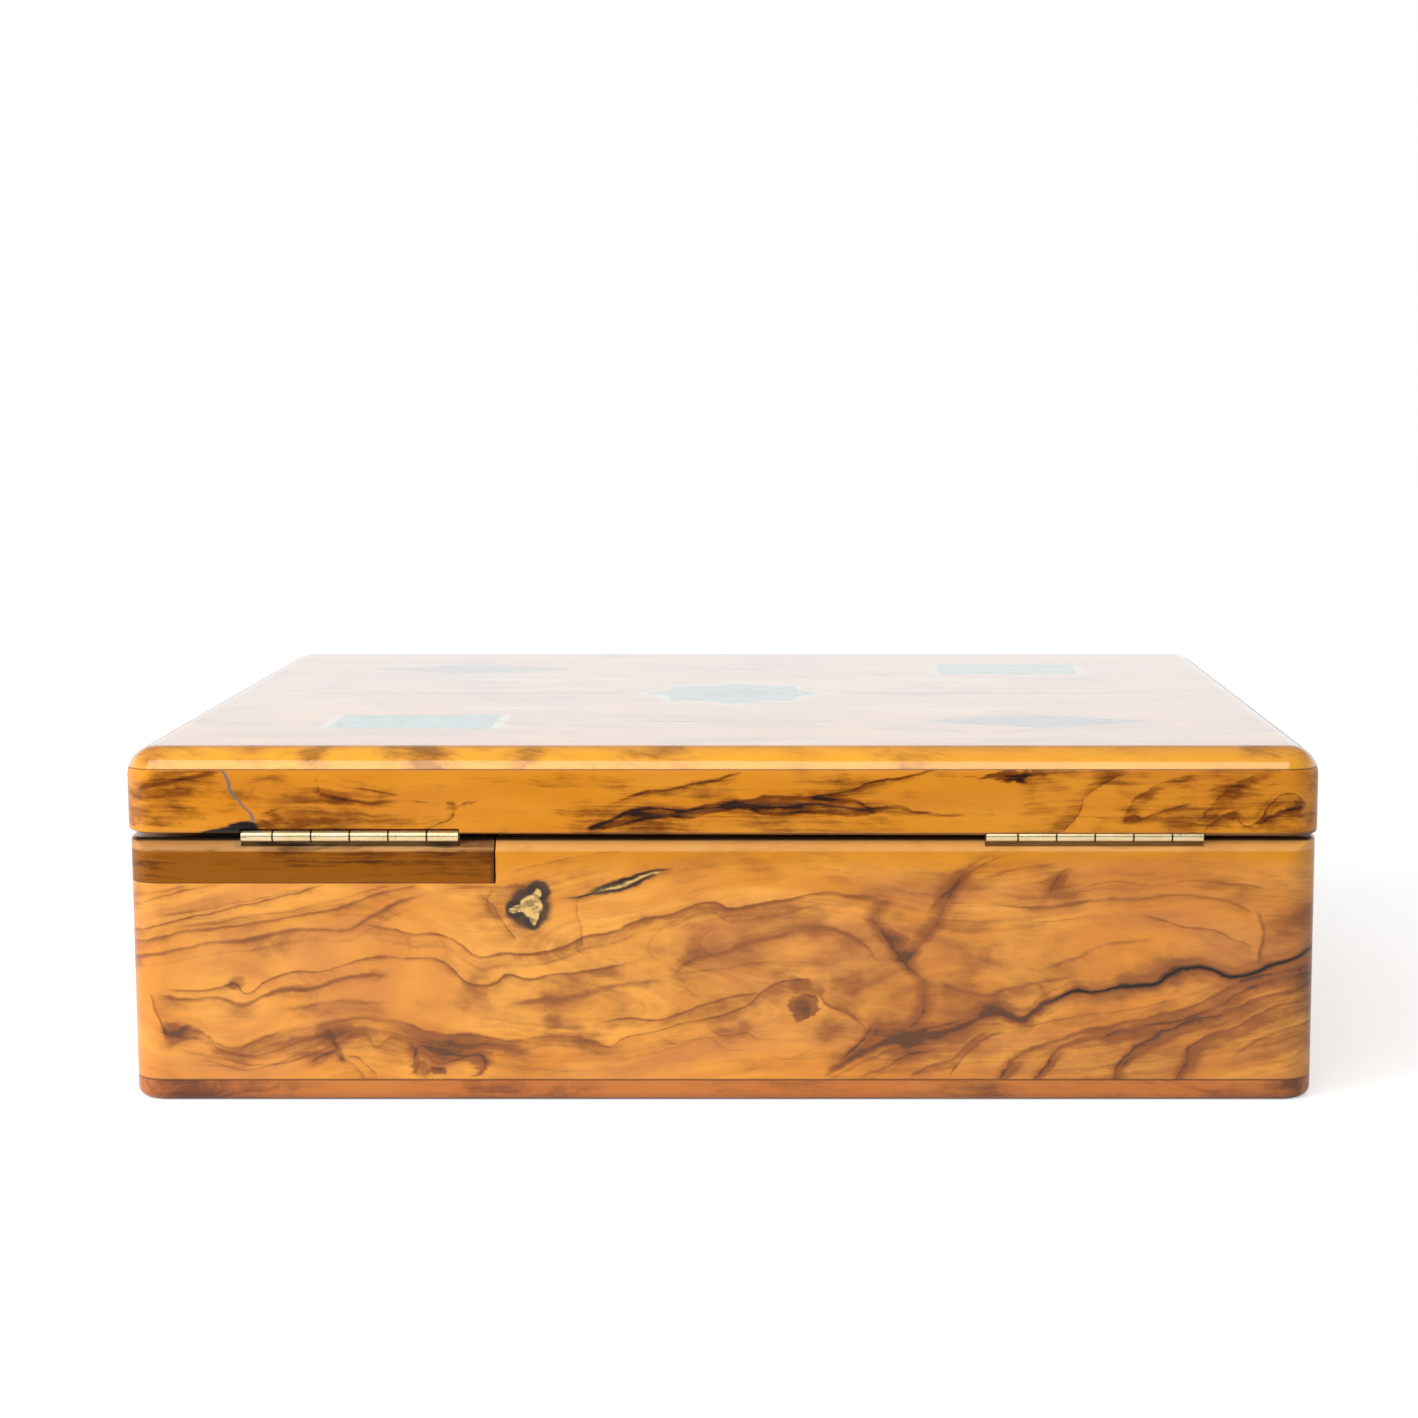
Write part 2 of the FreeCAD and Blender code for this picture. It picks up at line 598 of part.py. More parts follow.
def make_hinges():
    pieces = []
    for side, centre in HINGES:
        pieces.append(make_leaf(f"{side}_hinge_base_leaf", centre, BELOW))
        pieces.append(make_leaf(f"{side}_hinge_lid_leaf", centre, ABOVE))
        pieces.append(make_pin(f"{side}_hinge_pin", centre))
        pieces.append(make_screws(f"{side}_hinge_base_screws", centre, BELOW))
        pieces.append(make_screws(f"{side}_hinge_lid_screws", centre, ABOVE))
    return pieces


lid_form = make_lid_form()
pieces = [make_bottom_panel()]
pieces += make_back_walls()
pieces.append(long_wall("base_front_wall", f"-{BASE_BACK} + wall", f"-{BASE_BACK}"))
pieces.append(short_wall("base_left_wall", f"-{BASE_SIDE}", f"-{BASE_SIDE} + wall", f"-{BASE_SIDE}"))
pieces.append(short_wall("base_right_wall", f"{BASE_SIDE} - wall", BASE_SIDE, BASE_SIDE))
pieces += make_lid_top(lid_form)
pieces += make_rails(lid_form)
pieces += make_hinges()

doc.recompute()
failed = [thing.Name for thing in doc.Objects if {"Invalid", "Error"} & set(thing.State)]
failed += [piece.Label for piece in pieces if piece.Shape.isNull() or not piece.Shape.isValid()]
if failed:
    raise RuntimeError("failed: " + ", ".join(failed))

os.makedirs("parts", exist_ok=True)
for piece in pieces:
    piece.Shape.exportStep(f"parts/{piece.Label}.step")
    print(piece.Label, len(piece.Shape.Solids), "solids", round(piece.Shape.Volume, 2), "mm3")
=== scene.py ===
from math import radians

import bmesh
import bpy
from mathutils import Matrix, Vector

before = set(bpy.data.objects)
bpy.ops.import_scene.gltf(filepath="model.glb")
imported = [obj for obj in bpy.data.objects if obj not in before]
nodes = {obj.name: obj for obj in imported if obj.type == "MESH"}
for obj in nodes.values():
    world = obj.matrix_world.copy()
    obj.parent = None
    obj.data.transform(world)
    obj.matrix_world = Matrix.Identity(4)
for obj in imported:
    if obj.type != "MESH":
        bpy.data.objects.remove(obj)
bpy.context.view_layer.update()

scene = bpy.context.scene
print("model loaded:", len(nodes), "pieces")


class Flow:                                             # a node's output that can stand in a sum
    def __init__(self, socket):
        self.socket = socket

    def math(self, operation, *values):
        tree = self.socket.id_data
        node = tree.nodes.new("ShaderNodeMath")
        node.operation = operation
        for slot, value in zip(node.inputs, values):
            if isinstance(value, Flow):
                tree.links.new(value.socket, slot)
            else:
                slot.default_value = value
        return Flow(node.outputs[0])

    def __add__(self, other):
        return self.math("ADD", self, other)

    def __radd__(self, other):
        return self.math("ADD", other, self)

    def __sub__(self, other):
        return self.math("SUBTRACT", self, other)

    def __rsub__(self, other):
        return self.math("SUBTRACT", other, self)

    def __mul__(self, other):
        return self.math("MULTIPLY", self, other)

    def __rmul__(self, other):
        return self.math("MULTIPLY", other, self)

    def __truediv__(self, other):
        return self.math("DIVIDE", self, other)

    def __pow__(self, other):
        return self.math("POWER", self, other)

    def __abs__(self):
        return self.math("ABSOLUTE", self)

    def floor(self):
        return self.math("FLOOR", self)

    def most(self, other):
        return self.math("MAXIMUM", self, other)

    def least(self, other):
        return self.math("MINIMUM", self, other)


class Sheet:                                            # a node sheet and what is put on it
    def __init__(self, tree):
        self.tree = tree

    def node(self, kind, settings, sockets, out=0):
        made = self.tree.nodes.new("ShaderNode" + kind)
        for key, value in settings.items():
            if key == "points":                         # a float curve's points, in order
                self.setCurve(made.mapping, value, settings["handles"])
            elif key != "handles":
                setattr(made, key, value)
        for key, value in sockets.items():
            self.feed(made.inputs[key], value)
        return Flow(made.outputs[out])

    def feed(self, slot, value):
        if isinstance(value, Flow):
            self.tree.links.new(value.socket, slot)
        else:
            slot.default_value = value

    def setCurve(self, mapping, points, handles):
        mapping.use_clip = False
        mapping.extend = "EXTRAPOLATED" if handles == "AUTO" else "HORIZONTAL"
        track = mapping.curves[0].points
        track[0].location = points[0]
        track[1].location = points[-1]
        for point in points[1:-1]:
            track.new(*point)
        for point in track:
            point.handle_type = handles
        mapping.update()

    def curve(self, value, points, handles="VECTOR"):
        return self.node("FloatCurve", {"points": points, "handles": handles}, {"Value": value})

    def step(self, value, low, high):                   # 0 below low, 1 above high, soft between
        return self.node("MapRange", {"interpolation_type": "SMOOTHSTEP"},
                         {"Value": value, "From Min": low, "From Max": high})

    def cloud(self, place, sizes, detail, seed, rough=0.55, out=0):     # sizes in place's own units
        moved = self.node("Mapping", {}, {"Vector": place, "Location": (seed, seed * 1.7, seed * 0.6),
                                          "Scale": tuple(1 / size for size in sizes)})
        return self.node("TexNoise", {},
                         {"Vector": moved, "Scale": 1.0, "Detail": detail, "Roughness": rough}, out)

    def mix(self, amount, first, second):
        return self.node("Mix", {"data_type": "RGBA", "blend_type": "MIX"},
                         {0: amount, 6: self.tint(first), 7: self.tint(second)}, 2)

    def tint(self, colour):
        return colour if isinstance(colour, Flow) else (*colour, 1.0)

    def vector(self, x, y, z):
        return self.node("CombineXYZ", {}, {"X": x, "Y": y, "Z": z})

    def ray(self, kind):                                # 1 for rays of one kind
        return self.node("LightPath", {}, {}, f"Is {kind} Ray")


class Finish(Sheet):                                    # a material and its sheet
    def __init__(self, name, **fixed):                  # fixed: sockets that are the same all over
        self.material = bpy.data.materials.new(name)
        self.material.use_nodes = True
        super().__init__(self.material.node_tree)
        self.shader = self.tree.nodes["Principled BSDF"]
        for socket, value in fixed.items():
            self.shader.inputs[socket.replace("_", " ")].default_value = value

    def placeInMm(self):                                # the piece's own coordinates
        place = self.node("TexCoord", {}, {}, "Object")
        return [self.node("SeparateXYZ", {}, {"Vector": place}, axis) * 1000 for axis in ("X", "Y", "Z")]

    def finish(self, colour, roughness, height, strength, depth):
        self.feed(self.shader.inputs["Base Color"], colour)
        self.feed(self.shader.inputs["Roughness"], roughness)
        bump = self.node("Bump", {}, {"Strength": strength, "Distance": depth, "Height": height})
        self.feed(self.shader.inputs["Normal"], bump)
        return self.material


def dress(name, material):
    piece = nodes[name]
    piece.data.materials.clear()
    piece.data.materials.append(material)


# olive wood: every board has its own figure, drawn along the grain in millimetres

wood = {
    "gold": (0.705, 0.258, 0.028), "honey": (0.84, 0.368, 0.056), "rose": (0.56, 0.190, 0.046),
    "brown": (0.245, 0.070, 0.014), "umber": (0.095, 0.033, 0.012), "black": (0.013, 0.009, 0.008),
    "cream": (0.74, 0.48, 0.15), "bark": (0.038, 0.023, 0.018), "filler": (0.17, 0.135, 0.12),
    # the planed and fresh tones are paler wood toward edges, and also paint the highlight on the chamfer and the
    # lid's round-over
    "planed": (0.90, 0.50, 0.20), "amber": (0.66, 0.255, 0.004), "fresh": (1.0, 0.45, 0.030),
    "rosy": 0.75, "brownAt": (-0.24, 1.20), "umberAt": (1.15, 1.90),    # how dark the figure is where it turns
    "gloss": 1.38, "coat": 0.25, "coatRoughness": 0.05,
    "roughness": 0.15, "smeared": 0.12, "darkRough": 0.05,              # rougher by smears and in dark places
    "level": 0.4, "sunk": 0.5, "fibreHigh": 0.25,                       # height, sunk in dark places
    "bump": 0.22, "bumpDepth": 0.0004,
}

# clouds on a board: size along, across and through it, detail, seed, roughness, and limits where it is cut
grain = {
    "waver": ((26, 13, 18), 2.0, 0.0, 0.5), "ripple": ((5.5, 3.2, 6), 4.0, 12.5, 0.62),
    "ringPatch": ((46, 20, 30), 3.0, 2.7, 0.55, (0.38, 0.66)),
    "broken": ((15, 6, 10), 4.0, 6.6, 0.62, (0.36, 0.64)),
    "streak": ((48, 1.5, 7), 4.0, 3.3, 0.62), "band": ((75, 6.5, 20), 3.0, 14.2, 0.55),
    "thread": ((22, 0.75, 4), 4.0, 18.6, 0.66), "fleck": ((9, 0.55, 3), 2.0, 19.9, 0.5, (0.60, 0.74)),
    "fibre": ((16, 0.42, 0.42), 3.0, 15.8, 0.6), "pores": ((3.2, 0.26, 0.26), 1.0, 5.2, 0.55, (0.64, 0.76)),
    "marble": ((12, 6.5, 10), 5.0, 21.3, 0.62), "drift": ((34, 17, 24), 4.0, 23.8, 0.58),
    "mottle": ((44, 9, 22), 3.0, 1.1, 0.55, (0.36, 0.66)), "blush": ((60, 12, 30), 3.0, 7.9, 0.55, (0.42, 0.68)),
    "filling": ((2.4, 1.5, 3), 3.0, 11.0, 0.55, (0.40, 0.50)), "smear": ((30, 22, 26), 3.0, 8.4, 0.55),
}
darkens = {"streak": 0.80, "band": 0.85, "thread": 0.75, "fibre": 0.34, "fleck": 0.22, "pores": 0.12,
           "marble": 1.5, "drift": 1.3}                 # how much each cloud darkens the wood
uneven = {"veins": (0.66, 0.46), "stains": (0.55, 0.9),  # least strength, and what a cloud adds to it
          "cream": (0.35, 0.65), "planed": (0.4, 1.2)}
push = {"bigU": 1.6, "smallU": 1.7, "smallV": 1.3, "blotBig": (4.0, 3.0), "blotSmall": (5.0, 4.5),
        "sharp": (2.2, 1.8), "torn": 1.0}               # how far waver and ripple move lines, blots and sharp marks
swirls = {"sway": (60, 1.0, 4.3, 0.4),                  # size through the board, detail, seed, roughness
          "curl": (24, 2.0, 9.1, 0.5)}
rings = {
    "line": [(0.0, 0.30), (0.08, 0.15), (0.35, 0.04), (0.60, 0.10),     # darkness from one ring to the next
             (0.84, 0.36), (0.93, 1.0), (0.965, 0.9), (1.0, 0.30)],
    "fine": [(0.0, 0.2), (0.2, 0.0), (0.6, 0.1), (0.88, 0.8), (1.0, 0.2)],
    "fineSpacing": 0.21, "fineDark": 0.10, "ranked": 1.4,               # fine rings, and how unlike the rings are
}
profileShape = {                                        # across a vein: share of its shade or line, darkness
    "shade": [(1.0, 0.0), (0.80, 0.17), (0.45, 0.34)],
    "line": [(0.75, 0.44), (0.25, 1.25), (-0.2, 1.20), (-0.55, 0.16), (-1.1, 0.0)],
    "rim": 0.8, "flat": 0.5, "bandSide": 0.85,          # a band's soft rim, its flat part, its paler side
    "before": 0.7, "after": 0.35,                       # an echo's soft side and its sharp side, in mm
    "tail": 0.004, "runOut": 0.02,                      # how far curves run on past their ends
}
glue = {"soft": 0.4, "dark": 0.75, "sunk": 0.6}         # lines where boards meet
stainHides = 0.75                                       # how much dark figure hides the paler planed tone and its painted highlight
noPaintedShadeLimit = (-200.0, -199.0)                         # beyond the box, so that painted shade may be anywhere
courseUnit = 100.0                                      # mm to 1 on a float curve


# a line in the wood: its course, its width, how wide its shaded side is, how dark it is and how it fades at its ends
# echoes are fainter lines beside it, and a band is a flat brown strip: its middle, half its width, its share
def vein(course, line, shade, dark, fade=(5, 5), echoes=(), band=None):
    return {"course": course, "line": line, "shade": shade, "dark": dark, "fade": fade,
            "echoes": echoes, "band": band}


# an oval: its middle, its half width and height, its turn in degrees, how dark it is and how soft its edge is
def spot(u, v, wide, high, turn, dark=1.0, edge=1.0):
    return {"at": (u, v), "size": (wide, high), "turn": turn, "dark": dark, "edge": edge}


def onCurve(points):
    return [(u / courseUnit, v / courseUnit) for u, v in points]


def heightAt(marks, place):                             # on the straight lines between marks
    for (x0, y0), (x1, y1) in zip(marks, marks[1:]):
        if x0 <= place <= x1:
            return y0 + (y1 - y0) * (place - x0) / max(x1 - x0, 1e-6)
    return 0.0


def lineProfile(mark, spread):                          # darkness across a vein, in mm from its line
    shape, line, shade = profileShape, mark["line"], mark["shade"] * spread
    side, depth = (-1 if shade > 0 else 1), abs(shade)
    marks = sorted([(side * depth * share, dark) for share, dark in shape["shade"]]
                   + [(side * line * share, dark) for share, dark in shape["line"]])
    middle, half, amount = mark["band"] or (0.0, 1.0, 0.0)
    band = [(middle - half - shape["rim"], 0.0), (middle - half * shape["flat"], shape["bandSide"]),
            (middle + half * shape["flat"], 1.0), (middle + half + shape["rim"], 0.0)]
    before, after = shape["before"], shape["after"]
    places = {round(place, 3) for place, dark in marks + (band if amount else [])}
    for offset, strength in mark["echoes"]:
        places |= {round(offset + step, 3) for step in (-before, 0.0, after)}
    profile = []
    for place in sorted(places):
        echo = sum(strength * max(0.0, 1 - abs(place - offset) / (before if place < offset else after))
                   for offset, strength in mark["echoes"])
        profile.append((place / courseUnit, heightAt(marks, place) + echo + amount * heightAt(band, place)))
    first, last = profile[0][0], profile[-1][0]
    return [(first - shape["tail"], 0.0)] + profile + [(last + shape["tail"], 0.0)]


class OliveBoard(Finish):
    def __init__(self, board):
        super().__init__(board["name"], IOR=board.get("gloss", wood["gloss"]),
                         Coat_Weight=board.get("coat", wood["coat"]), Coat_Roughness=wood["coatRoughness"])
        self.board = board
        self.axes = dict(zip("xyz", self.placeInMm()))
        u, v, self.through = [self.axes[axis[-1]] * (-1 if axis[0] == "-" else 1) for axis in board["axes"]]
        self.plain = self.vector(u, v, self.through)
        self.bendLines(u, v)

    def layer(self, name, place, out=0):                # one of the grain's clouds
        sizes, detail, seed, rough, *limits = grain[name]
        shown = self.cloud(place, sizes, detail, self.board["seed"] + seed, rough, out)
        return self.step(shown, *limits[0]) if limits else shown

    def swirl(self, name):                              # one of the two that bend the rings
        along, across, height = self.board["rings"][name]
        through, detail, seed, rough = swirls[name]
        shown = self.cloud(self.plain, (along, across, through), detail, self.board["seed"] + seed, rough)
        return (shown - 0.5) * (2 * height)

    def bendLines(self, u, v):                          # lines waver, at two sizes, and blots have ragged edges
        big, small = [self.layer(name, self.plain, 1) for name in ("waver", "ripple")]
        bigX, bigY = [self.node("SeparateColor", {}, {"Color": big}, channel) - 0.5 for channel in (0, 1)]
        smallX, smallY = [self.node("SeparateColor", {}, {"Color": small}, channel) - 0.5 for channel in (0, 1)]
        amount = self.board.get("waver", 5.0)
        self.bentU = u + bigX * (amount * push["bigU"]) + smallX * push["smallU"]
        self.bentV = v + bigY * amount + smallY * push["smallV"]
        (bigU, bigV), (smallU, smallV), (sharpU, sharpV) = push["blotBig"], push["blotSmall"], push["sharp"]
        self.blots = self.vector(self.bentU + smallX * smallU + bigX * bigU,
                                 self.bentV + smallY * smallV + bigY * bigV, 0)
        self.sharp = self.vector(u + smallX * sharpU, v + smallY * sharpV, 0)
        self.smooth = [self.bentU / courseUnit, self.bentV / courseUnit]            # along and across the board
        self.torn = [(self.bentU + smallX * push["torn"]) / courseUnit,             # for bands with torn edges
                     (self.bentV + smallY * push["torn"]) / courseUnit]

    def unevenly(self, name, cloud):
        least, extra = uneven[name]
        return least + extra * cloud

    def drawVein(self, along, across, mark, spread=1.0):
        course, dark, runOut = onCurve(mark["course"]), mark["dark"], profileShape["runOut"]
        start, end = course[0][0], course[-1][0]
        fadeIn, fadeOut = [max(fade, 0.1) / courseUnit for fade in mark["fade"]]
        first, last = [0.0 if fade > 0 else dark for fade in mark["fade"]]          # no fade: the line runs on
        strength = [(start - runOut, first), (start, first), (start + fadeIn, dark), (end - fadeOut, dark),
                    (end, last), (end + runOut, last)]
        path = self.curve(along, course, "AUTO")
        return self.curve(across - path, lineProfile(mark, spread)) * self.curve(along, strength)

    def drawSpot(self, place, mark):                    # 1 in its middle
        moved = self.node("Mapping", {"vector_type": "TEXTURE"},
                          {"Vector": place, "Location": (*mark["at"], 0), "Rotation": (0, 0, radians(mark["turn"])),
                           "Scale": (*mark["size"], 1e6)})
        glow = self.node("TexGradient", {"gradient_type": "SPHERICAL"}, {"Vector": moved}, 1)
        return self.step(glow, 0.0, mark["edge"])

    def growthRings(self):                              # contours of a swaying field, each ring with its own strength
        own, seed = self.board["rings"], self.board["seed"]
        field = self.bentV + self.swirl("sway") + self.swirl("curl")
        if "flow" in own:                               # the field follows two courses, low and high on the board
            low, high = [self.curve(self.smooth[0], onCurve(course), "AUTO") for course in own["flow"]]
            lift = self.step(self.bentV, *own["flowHeights"])
            field = field - (low + (high - low) * lift) * courseUnit
        self.withRings = self.vector(self.bentU, field, self.through)
        count, fine = field / own["spacing"], field / (own["spacing"] * rings["fineSpacing"])
        level = count.floor()
        rank = self.node("TexWhiteNoise", {"noise_dimensions": "1D"}, {"W": level + seed}, 0)
        ringLine = self.curve(count - level, rings["line"]) * rank ** rings["ranked"] * own["dark"]
        fineLine = self.curve(fine - fine.floor(), rings["fine"]) * (own["dark"] * rings["fineDark"])
        return (ringLine + fineLine) * self.layer("ringPatch", self.plain)

    def addGrain(self, figure):                         # streaks run with the rings, fibres and pores don't
        bold = self.board.get("bold", 1.0)
        self.streak, self.band, thread, fleck = [self.layer(name, self.withRings)
                                                 for name in ("streak", "band", "thread", "fleck")]
        self.fibre, pores, drift = [self.layer(name, self.plain) for name in ("fibre", "pores", "drift")]
        marble = self.layer("marble", self.vector(self.bentU, self.bentV, self.through))
        for name, cloud in (("streak", self.streak), ("band", self.band), ("thread", thread), ("fibre", self.fibre)):
            figure = figure + (cloud - 0.5) * (darkens[name] * bold)
        figure = figure + fleck * darkens["fleck"] + pores * darkens["pores"]
        for name, cloud in (("marble", marble), ("drift", drift)):
            figure = figure + (cloud - 0.5) * (darkens[name] * self.board.get(name, 1.0))
        return figure

    def addDrawn(self, figure):                         # the board's own veins, steep ones drawn across, and stains
        spread = self.board.get("spread", 1.5)
        veins = []
        for mark in self.board.get("veins", ()):
            veins.append(self.drawVein(*(self.torn if mark["band"] else self.smooth), mark, spread))
        for mark in self.board.get("steep", ()):
            veins.append(self.drawVein(*reversed(self.torn if mark["band"] else self.smooth), mark, spread))
        if veins:
            broken = self.unevenly("veins", self.layer("broken", self.plain))
            figure = figure + sum(veins[1:], veins[0]) * broken
        for mark in self.board.get("stains", ()):
            figure = figure + self.drawSpot(self.blots, mark) * mark["dark"] * self.unevenly("stains", self.streak)
        return figure

    def woodColour(self, figure):                       # clear wood from gold to honey to rose, then the figure
        mottle, blush = [self.layer(name, self.withRings) for name in ("mottle", "blush")]
        colour = self.mix(mottle, wood["gold"], wood["honey"])
        colour = self.mix(blush * wood["rosy"], colour, wood["rose"])
        if "tone" in self.board:
            colour = self.mix(self.board["tone"][0], colour, self.board["tone"][1])
        self.stained = self.step(figure, *wood["brownAt"])
        colour = self.mix(self.stained, colour, self.board.get("brown", wood["brown"]))
        return self.mix(self.step(figure, *wood["umberAt"]), colour, self.board.get("umber", wood["umber"]))

    def addFillings(self, colour, depth):               # bark pockets, open cracks and what fills them, and black painted shadow lines under the hinges
        for kind in ("bark", "black", "filler", "cream"):
            marks = [self.drawVein(*self.smooth, mark) for mark in self.board.get(kind + "Veins", ())]
            marks += [self.drawVein(*reversed(self.smooth), mark) for mark in self.board.get(kind + "Steep", ())]
            marks += [self.drawSpot(self.sharp, mark) * mark["dark"] for mark in self.board.get(kind + "Spots", ())]
            for shown in marks:
                if kind == "cream":                     # cracked and dirty
                    shown = shown * self.unevenly("cream", self.layer("filling", self.plain))
                colour = self.mix(shown.least(1.0), colour, wood[kind])
                if kind == "black":
                    depth = depth + shown
        return colour, depth

    def addEdges(self, colour, depth):
        for axis, place, width in self.board.get("joints", ()):         # where the board meets its neighbours
            seamAndShade = 1 - self.step(abs(self.axes[axis] - place), width * glue["soft"], width)
            colour = self.mix(seamAndShade * glue["dark"], colour, wood["umber"])
            depth = depth + seamAndShade * glue["sunk"]
        for axis, low, high, amount, tone in self.board.get("planed", ()):      # another colour towards an edge: paler planed wood that also paints a highlight, or an amber tint
            clear = self.step(self.axes[axis], low, high) * (1 - self.stained * stainHides)
            colour = self.mix(clear * self.unevenly("planed", self.band) * amount, colour, wood[tone])
        for axis, clean, dirty, amount in self.board.get("paintedShade", ()):          # painted shade: darker in the gap under the lid and along the bottom edge
            outer = self.step(self.axes["y"], *self.board.get("paintedShadeFrom", noPaintedShadeLimit))
            colour = self.mix(self.step(self.axes[axis], clean, dirty) * outer * amount, colour, wood["black"])
        return colour, depth

    def painted(self):
        figure = self.addDrawn(self.addGrain(self.growthRings()))
        colour, depth = self.addFillings(self.woodColour(figure), 0.5 * figure)
        colour, depth = self.addEdges(colour, depth)
        smear = self.layer("smear", self.plain)
        roughness = wood["roughness"] + (smear - 0.5) * wood["smeared"] + depth * wood["darkRough"]
        height = wood["level"] - depth * wood["sunk"] + self.fibre * wood["fibreHigh"]
        return self.finish(colour, roughness, height, wood["bump"], wood["bumpDepth"])


